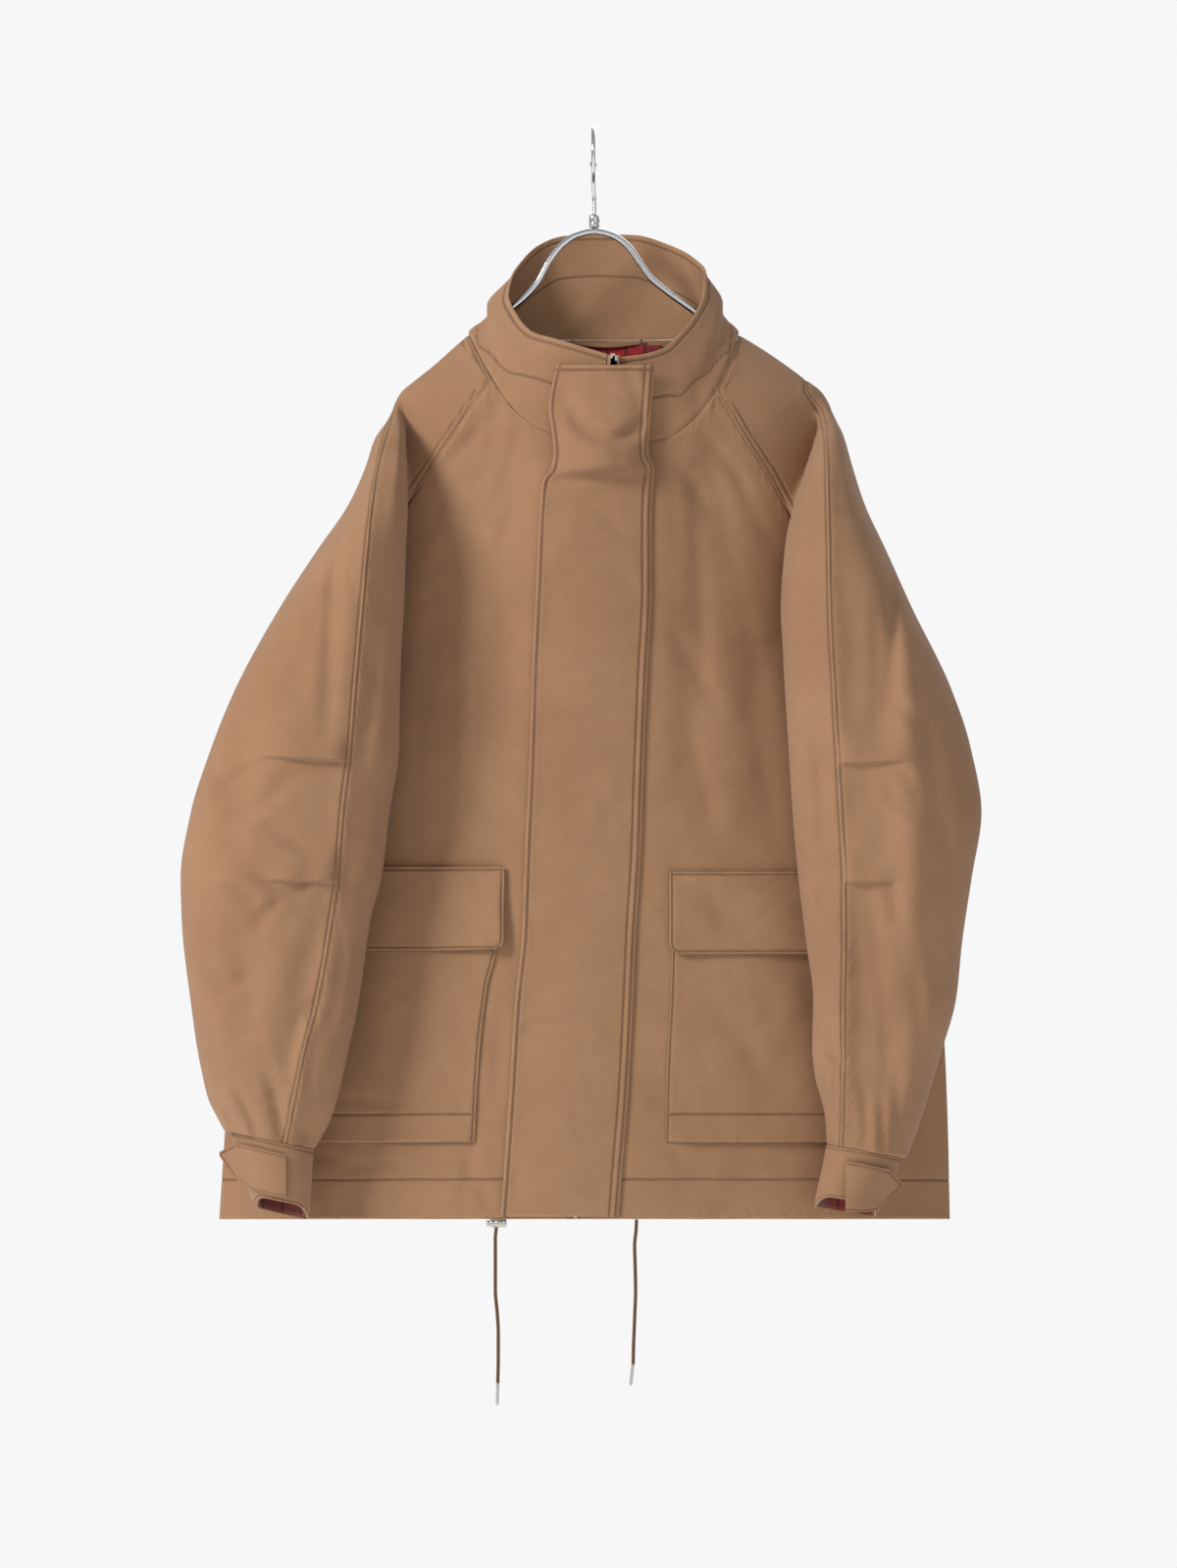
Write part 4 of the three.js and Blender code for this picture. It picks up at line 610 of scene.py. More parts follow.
def wall_faces(m, n, closed):
    """Faces of an outer grid, of the inner grid behind it and of the rim between them."""
    quads = grid_quads(m, n, closed)
    count = m * n
    faces = [quads, (quads + count)[:, ::-1]]
    first, last = np.arange(n), np.arange(count - n, count)[::-1]
    if closed:
        loops = [np.append(first, 0), np.append(last, count - 1)]
    else:
        loops = [np.concatenate([first, np.arange(2 * n - 1, count, n), last[1:],
                                 np.arange(count - 2 * n, 0, -n), [0]])]
    for loop in loops:
        faces.append(np.stack([loop[1:], loop[:-1], loop[:-1] + count, loop[1:] + count], -1))
    return np.concatenate(faces)


def cloth_uv_map(points, closed):
    """Each grid point's place on the cloth, in metres."""
    count = points.shape[1]
    if closed:
        points = np.concatenate([points, points[:, :1]], 1)
    across, down = lengths(points[:, :count], 1), lengths(points, 0)[:, :count]
    return np.stack([across - across.mean(1, keepdims=True), -down], -1).reshape(-1, 2) / 1000


def shell(name, points, outside, thickness=CANVAS_THICKNESS, closed=False, material=None,
          sewn=(), seams=(), rolled=(), roll=1.1, sink=0.9):
    """A cloth panel as a thin closed wall. seams are edges where it meets its neighbour, rolled
    are folded or free edges, and sewn are (edge, distance) pairs for rows of stitches."""
    normals, facing = normals_of(points, outside, closed)
    height, near, stitch = relief(points, sewn, seams, rolled, roll, sink)
    outer = points + normals * height[..., None]
    inner = points - normals * thickness
    faces = wall_faces(*outer.shape[:2], closed)
    uv = cloth_uv_map(points, closed)
    obj = mesh_object(
        "cloth_" + name, np.concatenate([outer.reshape(-1, 3), inner.reshape(-1, 3)]),
        faces if facing > 0 else faces[:, ::-1],
        material or CANVAS, np.concatenate([uv, uv]),
        {"seam": np.tile(near.ravel(), 2), "stitch": np.tile(stitch.ravel(), 2)},
    )
    for edge, distance in sewn:
        stitch_lines.append(row_line(outer, normals, edge, distance))
    return obj


def stand_for(node):
    """Hides the CAD node that a cloth piece of the same form stands for."""
    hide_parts(node)


# Materials
class Nodes:
    """A material's node tree with short ways to add nodes and to join them."""

    def __init__(self, name):
        self.material = bpy.data.materials.new(name)
        self.material.use_nodes = True
        self.tree = self.material.node_tree
        self.shader = self.tree.nodes["Principled BSDF"]

    def add(self, kind, values=(), **settings):
        node = self.tree.nodes.new(kind)
        for key, value in settings.items():
            setattr(node, key, value)
        for key, value in dict(values).items():
            self.put(node.inputs[key], value)
        return node

    def put(self, socket, value):
        if isinstance(value, bpy.types.NodeSocket):
            self.tree.links.new(value, socket)
        else:
            socket.default_value = value

    def math(self, operation, *values):
        node = self.add("ShaderNodeMath", dict(enumerate(values)), operation=operation)
        return node.outputs[0]

    def noise(self, vector, scale, detail=2.0, rough=0.5):
        values = {"Vector": vector, "Scale": scale, "Detail": detail, "Roughness": rough}
        return self.add("ShaderNodeTexNoise", values).outputs["Fac"]

    def blend(self, share, low, high, mode="MIX"):
        node = self.add("ShaderNodeMix", data_type="RGBA", blend_type=mode)
        self.put(node.inputs["Factor"], share)
        self.put(node.inputs[6], low)
        self.put(node.inputs[7], high)
        return node.outputs[2]

    def layer(self, name):
        return self.add("ShaderNodeAttribute", attribute_name=name).outputs["Fac"]

    def fade(self, value, start, end, low=0.0, high=1.0):
        """The value's place between start and end as low to high, kept inside them."""
        values = {"Value": value, "From Min": start, "From Max": end, "To Min": low, "To Max": high}
        return self.add("ShaderNodeMapRange", values, interpolation_type="SMOOTHSTEP").outputs[0]

    def scaled(self, vector, scale, turn=0.0):
        values = {"Vector": vector, "Scale": scale, "Rotation": (0, 0, turn)}
        return self.add("ShaderNodeMapping", values).outputs[0]

    def bump(self, height, strength, distance, normal=None):
        values = {"Height": height, "Strength": strength, "Distance": distance}
        if normal is not None:
            values["Normal"] = normal
        return self.add("ShaderNodeBump", values).outputs[0]


def rgb(red, green, blue):
    """A display colour as the linear colour that shaders take."""
    def linear(value):
        value /= 255
        return value / 12.92 if value <= 0.04045 else ((value + 0.055) / 1.055) ** 2.4
    return (linear(red), linear(green), linear(blue), 1)


def weave(nodes, cloth_uv):
    """Twill: fine diagonal ribs broken up by uneven yarns."""
    ribs = nodes.noise(nodes.scaled(cloth_uv, (520, 1900, 1), math.radians(38)), 1.0, 2.0, 0.6)
    yarns = nodes.noise(nodes.scaled(cloth_uv, (1500, 260, 1)), 1.0, 1.0)
    return nodes.math("ADD", ribs, nodes.math("MULTIPLY", yarns, 0.6))


def canvas_material():
    nodes = Nodes("canvas")
    cloth_uv = nodes.add("ShaderNodeUVMap", uv_map="cloth").outputs[0]
    where = nodes.add("ShaderNodeTexCoord").outputs["Object"]
    seam, stitch = nodes.layer("seam"), nodes.layer("stitch")
    fine = weave(nodes, cloth_uv)
    cloudy = nodes.noise(where, 9.0, 3.0)
    patchy = nodes.noise(where, 42.0, 4.0, 0.6)
    base = nodes.blend(nodes.fade(cloudy, 0.35, 0.65), rgb(160, 121, 90), rgb(168, 129, 97))
    base = nodes.blend(nodes.fade(patchy, 0.3, 0.8, 0.0, 0.22), base, rgb(145, 107, 79))
    base = nodes.blend(nodes.fade(fine, 0.55, 1.1, 0.0, 0.35), base, rgb(136, 98, 69))
    worn = nodes.math("MULTIPLY", nodes.fade(seam, 0.2, 3.2, 0.32, 0.0), nodes.fade(patchy, 0.35, 0.6))
    base = nodes.blend(worn, base, rgb(193, 152, 114))
    # Painted shade: a dark brown line along each row of stitches, where the cloth is drawn in
    row_shade = nodes.fade(stitch, 0.3, 1.5, 0.6, 0.0)
    base = nodes.blend(row_shade, base, rgb(104, 72, 50))
    nodes.put(nodes.shader.inputs["Base Color"], base)
    nodes.shader.inputs["Roughness"].default_value = 0.92
    nodes.shader.inputs["Specular IOR Level"].default_value = 0.25
    nodes.shader.inputs["Sheen Weight"].default_value = 0.12
    nodes.shader.inputs["Sheen Roughness"].default_value = 0.6
    pucker = nodes.noise(nodes.scaled(cloth_uv, (95, 95, 1)), 1.0, 1.0)
    pull = nodes.math("MULTIPLY", pucker, nodes.fade(seam, 0.0, 14.0, 1.0, 0.0))
    near_row = nodes.fade(stitch, 0.0, 1.8, -0.55, 0.0)
    relief = nodes.math("ADD", nodes.math("MULTIPLY", pull, 1.2), near_row)
    normal = nodes.bump(relief, 0.75, 0.0016)
    rumpled = nodes.noise(where, 60.0, 3.0, 0.55)
    normal = nodes.bump(rumpled, 0.28, 0.0011, normal)
    nodes.put(nodes.shader.inputs["Normal"], nodes.bump(fine, 0.32, 0.00022, normal))
    return nodes.material


def stripes(nodes, value, pitch, width, offset=0.0):
    """1 inside stripes of a width that repeat at a pitch, in metres, and 0 between them."""
    moved = nodes.math("ADD", value, offset)
    place_in = nodes.math("PINGPONG", moved, pitch / 2)
    return nodes.fade(place_in, width / 2 + 0.0004, width / 2 - 0.0004)


def plaid_material():
    nodes = Nodes("plaid_lining")
    where = nodes.add("ShaderNodeTexCoord").outputs["Object"]
    split = nodes.add("ShaderNodeSeparateXYZ", {"Vector": where})
    nap = nodes.noise(nodes.scaled(where, (900, 900, 900)), 1.0, 2.0)
    broad_x = stripes(nodes, split.outputs["X"], 0.066, 0.030, 0.006)
    broad_z = stripes(nodes, split.outputs["Z"], 0.066, 0.030, 0.012)
    line_x = stripes(nodes, split.outputs["X"], 0.0165, 0.0026, 0.004)
    base = nodes.blend(nodes.math("MULTIPLY", broad_x, 0.55), rgb(176, 38, 44), rgb(58, 44, 38))
    base = nodes.blend(nodes.math("MULTIPLY", broad_z, 0.45), base, rgb(110, 62, 44))
    base = nodes.blend(nodes.math("MULTIPLY", line_x, 0.7), base, rgb(40, 24, 26))
    base = nodes.blend(nodes.fade(nap, 0.35, 0.7, 0.0, 0.35), base, rgb(84, 30, 28))
    nodes.put(nodes.shader.inputs["Base Color"], base)
    nodes.shader.inputs["Roughness"].default_value = 0.95
    nodes.shader.inputs["Sheen Weight"].default_value = 0.3
    nodes.put(nodes.shader.inputs["Normal"], nodes.bump(nap, 0.5, 0.0006))
    return nodes.material


def metal_material(name, color, roughness, scratch):
    nodes = Nodes(name)
    where = nodes.add("ShaderNodeTexCoord").outputs["Object"]
    marks = nodes.noise(nodes.scaled(where, (300, 300, 900)), 1.0, 4.0, 0.7)
    nodes.shader.inputs["Metallic"].default_value = 1.0
    tint = nodes.blend(nodes.fade(marks, 0.35, 0.75, 0.0, 0.1), color, rgb(150, 152, 155))
    nodes.put(nodes.shader.inputs["Base Color"], tint)
    nodes.put(nodes.shader.inputs["Roughness"], nodes.fade(marks, 0.3, 0.8, roughness, roughness + 0.12))
    nodes.put(nodes.shader.inputs["Normal"], nodes.bump(marks, scratch, 0.0001))
    return nodes.material


def cord_material():
    """A round braid: two sets of strands that cross round the cord."""
    nodes = Nodes("braided_cord")
    cloth_uv = nodes.add("ShaderNodeUVMap", uv_map="cloth").outputs[0]
    split = nodes.add("ShaderNodeSeparateXYZ", {"Vector": cloth_uv})
    along = nodes.math("MULTIPLY", split.outputs["Y"], 2 * math.pi / 0.0032)
    around = nodes.math("MULTIPLY", split.outputs["X"], 2 * math.pi / 0.00157)
    one = nodes.math("SINE", nodes.math("ADD", along, around))
    other = nodes.math("SINE", nodes.math("SUBTRACT", along, around))
    braid = nodes.math("MAXIMUM", one, other)
    base = nodes.blend(nodes.fade(braid, -0.2, 1.0), rgb(74, 48, 32), rgb(140, 102, 72))
    nodes.put(nodes.shader.inputs["Base Color"], base)
    nodes.shader.inputs["Roughness"].default_value = 0.85
    nodes.put(nodes.shader.inputs["Normal"], nodes.bump(braid, 0.9, 0.0005))
    return nodes.material


def thread_material():
    nodes = Nodes("thread")
    where = nodes.add("ShaderNodeTexCoord").outputs["Object"]
    twist = nodes.noise(nodes.scaled(where, (2600, 2600, 2600)), 1.0, 1.0)
    base = nodes.blend(nodes.fade(twist, 0.3, 0.7), rgb(128, 92, 64), rgb(176, 134, 98))
    nodes.put(nodes.shader.inputs["Base Color"], base)
    nodes.shader.inputs["Roughness"].default_value = 0.7
    nodes.put(nodes.shader.inputs["Normal"], nodes.bump(twist, 0.4, 0.0001))
    return nodes.material


def floor_material():
    """A pale floor that glows faintly of its own: painted light that keeps it pale where the lamps do not
    reach.
    """
    nodes = Nodes("floor")
    where = nodes.add("ShaderNodeTexCoord").outputs["Object"]
    grain = nodes.noise(where, 3.0, 3.0)
    base = nodes.blend(nodes.fade(grain, 0.3, 0.7), rgb(241, 241, 242), rgb(244, 244, 245))
    nodes.put(nodes.shader.inputs["Base Color"], base)
    nodes.shader.inputs["Roughness"].default_value = 0.9
    # Painted light: the floor's own glow, which also sheds a little light from below
    nodes.shader.inputs["Emission Color"].default_value = (1, 1, 1, 1)
    nodes.shader.inputs["Emission Strength"].default_value = 0.3
    return nodes.material


CANVAS = canvas_material()
PLAID = plaid_material()
CHROME = metal_material("chrome", rgb(226, 228, 230), 0.12, 0.02)
CORD_METAL = metal_material("cord_metal", rgb(205, 205, 200), 0.3, 0.06)
CORD = cord_material()
THREAD = thread_material()


# The body's panels
def front_panel(side):
    sign = -1 if side == "right" else 1
    seam = SEAMS[side]["front"].copy()
    seam[0, 0] = closure_x(seam[0, 1]) + sign * ZIP_HALF
    k = crowded(len(seam) - 1)
    top_x, top_z = sampled(seam, k)

    def edge(z):
        return closure_x(z) + sign * ZIP_HALF

    def width(z):
        return body[side](np.maximum(z, ARMPIT)) - edge(np.maximum(z, ARMPIT))

    start = (top_x - edge(top_z)) / width(top_z)
    z = column_heights(top_z, BODY_LEVELS)
    share = mix(start[None, :], (k / k[-1])[None, :], ramp(top_z[None, :], 900, z))
    x = edge(z) + width(z) * share
    name = "front_" + side
    obj = shell(
        name, place(x, front_y(x, z), z), (0, -1, 0), seams=("top", "last"), rolled=("bottom",),
        sewn=[("bottom", HEM_STITCH)], sink=0.8,
    )
    stand_for(name)


def back_panel():
    neck = collar_samples(JOIN["back_right"], JOIN["back_left"])
    right, left = SEAMS["right"]["back"], SEAMS["left"]["back"]
    seam = np.concatenate([right[1:][::-1], neck, left[1:]])
    k = crowded(len(seam) - 1)
    top_x, top_z = sampled(seam, k)

    def share_of(x, z):
        low = np.maximum(z, ARMPIT)
        return (x - body["right"](low)) / (body["left"](low) - body["right"](low))

    start = share_of(top_x, top_z)
    z = column_heights(top_z, BODY_LEVELS)
    share = mix(start[None, :], (k / k[-1])[None, :], ramp(top_z[None, :], 900, z))
    low = np.maximum(z, ARMPIT)
    x = mix(body["right"](low), body["left"](low), share)
    obj = shell(
        "back", place(x, back_y(x, z), z), (0, 1, 0), seams=("top", "first", "last"),
        rolled=("bottom",), sewn=[("bottom", HEM_STITCH), ("first", 7), ("last", 7)], sink=0.8,
    )
    stand_for("back")


# Sleeves: the section round each half is worked out on a lattice of heights and shares
LATTICE_SHARES = np.linspace(0, 1, 97)


def section_curve(stations):
    stations = np.array(stations, float)
    step = np.hypot(np.diff(stations[:, 0]) * MM_PER_UNIT, np.diff(stations[:, 1]))
    run = np.concatenate([[0], np.cumsum(np.maximum(step, 0.01))])
    x, y = smooth(run, stations[:, 0]), smooth(run, stations[:, 1])
    return x(LATTICE_SHARES * run[-1]), y(LATTICE_SHARES * run[-1])


def front_stations(ring, seam, fold, forward, angle, z):
    """The front half's turning points: from the front seam, over the fold at the sleeve's inner
    edge, to the overarm seam."""
    start, edge = (seam, float(front_y(seam, z))), ring(-20)

    def station(x, share):
        flat = (x, float(front_y(x, z)))
        return tuple(mix(flat[c], mix(start[c], edge[c], share), forward) for c in (0, 1))

    return [start, station((seam + fold) / 2, 0.33), station(fold, 0.67), edge, ring(0),
            ring(angle / 2), ring(angle)]


def back_stations(ring, seam, corner, angle, z):
    """The back half's turning points, from the overarm seam to the back seam."""
    between = seam * 0.45 + corner[0] * 0.55
    return [ring(angle), ring(mix(angle, 180, 0.4)), ring(mix(angle, 180, 0.75)), ring(180),
            corner, (between, (float(back_y(between, z)) + corner[1]) / 2),
            (seam, float(back_y(seam, z)))]


def sleeve_section(side, half, z):
    """One half's section at a height, from its first seam to its last, on the lattice's shares."""
    at = {name: float(column(z)) for name, column in sleeve_at[side].items()}
    root = {name: float(column(z)) for name, column in root_at[side].items()}
    sign = 1 if side == "right" else -1
    middle, reach = (at["inner"] + at["outer"]) / 2, abs(at["inner"] - at["outer"]) / 2
    mid = float(body["right"](z) + body["left"](z)) / 2
    body_half = float(body["left"](z) - body["right"](z)) / 2

    def ring(angle):
        turn = math.radians(angle)
        return middle + sign * reach * math.cos(turn), at["centre"] - at["half"] * math.sin(turn)

    def shoulder_turn(x):
        return math.acos(min(max(sign * (mid - x) / body_half, -1), 1))

    angle = math.degrees(math.acos(min(max(sign * (at["seam"] - middle) / reach, -1), 1)))
    under = float(underarm(z))
    line = SEAMS[side]["sleeve_" + half]
    seam_x = float(np.interp(z, line[:, 1], line[:, 0]))
    if half == "front":
        fold = ring(0)[0] - sign * EDGE_TUCK
        forward = float(ramp(-FOLD_OVER, 0, sign * (fold - seam_x)))
        hanging = front_stations(ring, seam_x, fold, forward, angle, z)
        closed = [under, under * 0.66, under * 0.4, under * 0.2, 0, angle / 2, angle]
        turns = shoulder_turn(seam_x), shoulder_turn(at["seam"])
    else:
        hanging = back_stations(ring, seam_x, (root["back_x"], root["back_y"]), angle, z)
        end = 360 + under
        closed = [angle, mix(angle, 180, 0.4), mix(angle, 180, 0.75), 180, 228, mix(228, end, 0.5), end]
        turns = shoulder_turn(at["seam"]), -shoulder_turn(seam_x)
    hang = float(ramp(*TIP, z))
    close = min(max((z - TUBE[0]) / (TUBE[1] - TUBE[0]), 0), 1)
    turn = mix(turns[0], turns[1], LATTICE_SHARES)
    over_x = mid - sign * body_half * np.cos(turn)
    over_y = np.where(turn > 0, front_y(over_x, z), back_y(over_x, z))
    loose_x, loose_y = section_curve(hanging)
    tube_x, tube_y = section_curve([ring(a) for a in closed])
    x = mix(mix(over_x, loose_x, hang), tube_x, close)
    return x, mix(mix(over_y, loose_y, hang), tube_y, close)


sleeve_at = {side: columns(SLEEVE[side]) for side in SLEEVE}
root_at = {side: columns(SLEEVE_ROOT[side]) for side in SLEEVE_ROOT}


def lattice_read(grid, heights, z, share):
    """Values of a lattice at heights and shares, straight between its points."""
    at = np.interp(z, heights, np.arange(len(heights)))
    i = np.clip(at.astype(int), 0, len(heights) - 2)
    along = share * (len(LATTICE_SHARES) - 1)
    j = np.clip(along.astype(int), 0, len(LATTICE_SHARES) - 2)
    u, v = at - i, along - j
    low = mix(grid[i, j], grid[i, j + 1], v)
    return mix(low, mix(grid[i + 1, j], grid[i + 1, j + 1], v), u)


def askew(side, x, z):
    rows = CUFF[side]
    middle = (rows["inner"][0] + rows["outer"][0]) / 2
    start = rows["z"][0]
    return z + CUFF_SLOPE[side] * (x - middle) * ramp(start - 110, start, z)


def sleeve_levels(end):
    """Row heights, closer together where the tucks are."""
    rows = list(np.linspace(LEVEL_START, end - 3, 102))
    for line in (774, 898):
        rows = [row for row in rows if abs(row - line) > 9]
        rows += [line + step for step in (-8, -5, -3, -1.8, -0.9, 0, 0.8, 1.6, 2.4, 3.4, 5, 7.5)]
    return np.array(sorted(rows) + [end - 1.6, end - 0.7, end])


def sleeve_panel(side, half):
    seam = SEAMS[side]["sleeve_" + half]
    k = crowded(len(seam) - 1)
    _, top_z = sampled(seam, k)
    end = CUFF[side]["z"][0]
    z = column_heights(top_z, sleeve_levels(end))
    heights = np.concatenate([np.linspace(seam[0, 1], ARMPIT, 230), np.linspace(ARMPIT + 0.5, end, 330)])
    sections = [sleeve_section(side, half, height) for height in heights]
    grid_x, grid_y = (np.array([section[c] for section in sections]) for c in (0, 1))
    start = np.interp(z, seam[:, 1], np.arange(len(seam)))
    away = np.where(start > 1e-6, np.minimum(k[None, :] / np.maximum(start, 1e-6), 1), 0)
    share = 1 - away if half == "front" else away
    x, y = (lattice_read(grid, heights, z, share) for grid in (grid_x, grid_y))
    seen = ramp(0.05, 0.35, 1 - away) if half == "front" else ramp(0.6, 0.3, away)
    low = ramp(500, 600, z)
    broad = fold_depth(SLEEVE_FOLDS, x, z) - tuck_rise(x, z)
    sharp = crease_depth(SLEEVE_CREASES, x, z) + unrest(x, z)
    y = y + (broad * low + sharp * ramp(430, 520, z)) * seen
    hidden = ramp(0.55, 0.8, away) * ramp(640, 720, z) if half == "back" else 0
    y = y - hidden * 2.2 * np.sin(z / 26 + 0.9 * np.sin(z / 41)) * ramp(end, end - 60, z)
    name = f"sleeve_{half}_{side}"
    outside = (0, -1, 0) if half == "front" else ((-1, 0, 0) if side == "right" else (1, 0, 0))
    sewn = [("first", 2.2)]
    if half == "front":
        sewn += [("top", 2.4), ("top", 7.5)]
    obj = shell(
        name, place(x, y, askew(side, x, z)), outside, seams=("top", "first", "last", "bottom"), sewn=sewn,
        sink=0.7,
    )
    stand_for(name)


COLLAR_ROWS = [5, 38]  # rows of stitches below the rim


def collar():
    t = crowded(JOIN["end"] * 11) / 11
    rows_down = [0, 0.006, 0.014, 0.026, 0.04, *np.linspace(0.05, 0.6, 50),
                 *np.linspace(0.63, 0.94, 10), 0.97, 0.985, 1]
    up = 1 - np.array(rows_down)
    points = place(*collar_points(t[None, :], up[:, None]))
    obj = shell(
        "collar", points, (0, 1, 0), thickness=2.0, rolled=("top", "first", "last"), seams=("bottom",),
        sewn=[("top", row) for row in COLLAR_ROWS], sink=0.9,
    )
    stand_for("collar")


# What is sewn on the body
def closure_y(x, z):
    over_collar = -78 + 7 * ((x - closure_x(z)) / 56) ** 2
    return mix(over_collar, front_y(x, z), ramp(452, 505, z))


def edged(count, length, near=(0, 0.35, 0.8, 1.5, 2.6)):
    """Shares from 0 to 1 across a length in millimetres, closer together at both ends."""
    near = np.array(near) / length
    middle = np.linspace(0, 1, count)[1:-1] * (1 - 2 * near[-1]) + near[-1]
    return np.concatenate([near, middle, 1 - near[::-1]])


FLAP_STAND = {"edge": 3.6, "middle": 1.6, "least": 2.6}
FLAP_EDGE = (0, 0.35, 0.8, 1.5, 2.2, 2.6, 3.1, 3.7, 4.3, 4.9, 5.6, 6.6, 7.5, 8.2, 8.9, 9.8)


def storm_flap():
    at = columns(FLAP)
    z = mix(FLAP["z"][0], FLAP["z"][-1], edged(200, 745, FLAP_EDGE))[:, None]
    across = edged(24, 95, FLAP_EDGE)[None, :]
    x = mix(at["x0"](z), at["x1"](z), across)
    swell = np.sin(math.pi * np.clip(across, 0.06, 0.94)) * at["bulge"](z)
    pushed = crease_depth(FLAP_CREASES, x, z) + 0.7 * unrest(x + 90, z)
    held = ramp(0.0, 0.12, 1 - across)
    stand = ramp(0.12, 0.0, across) * 0.5 * (1 + np.sin(z / 31)) * ramp(500, 560, z)
    under = closure_y(x, z)
    y = under - FLAP_STAND["edge"] - FLAP_STAND["middle"] * np.sin(math.pi * across) - swell - stand
    y = np.minimum(y + pushed * held * ramp(0, 0.08, across), under - FLAP_STAND["least"])
    obj = shell(
        "storm_flap", place(x, y, z), (0, -1, 0), thickness=2.4,
        rolled=("top", "bottom", "first"), seams=("last",), sink=1.6,
        sewn=[("first", 4.3), ("top", 4.3), ("last", 2.6), ("last", 8.2)],
    )
    stand_for("storm_flap")


ZIP = {"top": 362, "bottom": 1236, "first_tooth": 371, "last_tooth": 1234, "pitch": 2.4}


def zip_tape():
    z = np.linspace(ZIP["top"], ZIP["bottom"], 160)[:, None]
    across = np.linspace(-1, 1, 5)[None, :]
    x = closure_x(z) + across * (ZIP_HALF - 0.6)
    obj = shell("zip", place(x, closure_y(x, z) + 1, z), (0, -1, 0), thickness=1.0)
    teeth = zip_teeth()
    stand_for("zip")


def zip_teeth():
    """Metal teeth that mesh along the closure's line, behind the storm flap."""
    points, faces = [], []
    for n, z in enumerate(np.arange(ZIP["first_tooth"], ZIP["last_tooth"], ZIP["pitch"])):
        side = 1 if n % 2 else -1
        middle = closure_x(z) + side * 1.2
        low = place(middle - 2, closure_y(middle, z) + 0.7, z - 0.7)
        high = place(middle + 2, 0, z + 0.7)
        high[1] = low[1] + 1.6
        start = len(points)
        for a in (low[0], high[0]):
            for b in (low[1], high[1]):
                for c in (low[2], high[2]):
                    points.append((a, b, c))
        faces += [[start + i for i in face] for face in BOX_FACES]
    obj = mesh_object("zip_teeth", points, faces, CORD_METAL)
    obj.data.polygons.foreach_set("use_smooth", [False] * len(obj.data.polygons))
    return obj


BOX_FACES = [(0, 1, 3, 2), (4, 6, 7, 5), (0, 4, 5, 1), (2, 3, 7, 6), (0, 2, 6, 4), (1, 5, 7, 3)]


POCKET_EDGE = (0, 0.35, 0.8, 1.4, 1.8, 2.2, 2.6, 3.2, 4.0)
POCKET_HEM = 24
POCKET_STAND = 2.6
POCKET_FLAP_STAND = 5.2
POCKET_FLAP_EDGE = (0, 0.3, 0.7, 1.2, 1.8, 2.4, 3.0, 3.8, 5.0, 7.5)


def pocket(side):
    at = columns(POCKET[side])
    z = mix(900, 1165, with_rows(edged(62, 228, POCKET_EDGE), [1 - POCKET_HEM / 228], 1 / 228))[:, None]
    across = edged(44, 170, POCKET_EDGE)[None, :]
    x = mix(at["inner"](z), at["outer"](z), across)
    belly = np.sin(math.pi * across) ** 0.8 * ramp(930, 1040, z) * ramp(1165, 1120, z) * 2.2
    mouth = ramp(945, 900, z) * 1.0
    lip = 2.4 * ramp(1120, 1165, z) * np.sin(math.pi * across) ** 0.6
    creased = crease_depth(POCKET_CREASES, x, z) * np.sin(math.pi * across)
    y = front_y(x, z) - POCKET_STAND - belly - lip + mouth + creased
    name = "pocket_" + side
    obj = shell(
        name, place(x, y, z), (0, -1, 0), thickness=1.6,
        rolled=("first", "last", "bottom", "top"), roll=1.3,
        sewn=[("first", 2.2), ("last", 2.2), ("bottom", POCKET_HEM)],
    )
    stand_for(name)


def pocket_flap(side):
    rows = POCKET_FLAP[side]
    sign = -1 if side == "right" else 1
    z = mix(rows["top"], rows["bottom"], edged(28, 72, POCKET_FLAP_EDGE))[:, None]
    across = edged(46, 180, POCKET_EDGE)[None, :]
    down = np.maximum(z - (rows["bottom"] - FLAP_CORNER), 0)
    inset = FLAP_CORNER - np.sqrt(np.maximum(FLAP_CORNER**2 - down**2, 0))
    x = mix(rows["inner"] + sign * inset, rows["outer"] - sign * inset, across)
    wavy = 3.0 + 1.1 * np.sin(across * 9.0 + (0 if side == "right" else 2))
    stand = ramp(rows["top"], rows["bottom"], z) * wavy
    below_seam = ramp(rows["top"], rows["top"] + 12, z)
    creased = 0.8 * crease_depth(POCKET_CREASES, x, z) * below_seam
    y = front_y(x, z) - POCKET_FLAP_STAND - stand + creased
    name = "pocket_flap_" + side
    obj = shell(
        name, place(x, y, z), (0, -1, 0), thickness=2.0, rolled=("first", "last", "bottom"), seams=("top",),
        roll=1.3, sewn=[("first", 2.2), ("last", 2.2), ("bottom", 2.4), ("top", 2.4)],
    )
    stand_for(name)


# Cuffs, their tabs and the lining in their mouths
def cuff_ring(side, z, angle, inset=0.0):
    at = columns(CUFF[side])
    sign = 1 if side == "right" else -1
    middle = (at["inner"](z) + at["outer"](z)) / 2
    reach = np.abs(at["inner"](z) - at["outer"](z)) / 2 - inset / MM_PER_UNIT
    x = middle + sign * reach * np.cos(angle)
    y = at["centre"](z) - (at["half"](z) - inset) * np.sin(angle)
    return place(x, y, askew(side, x, z))


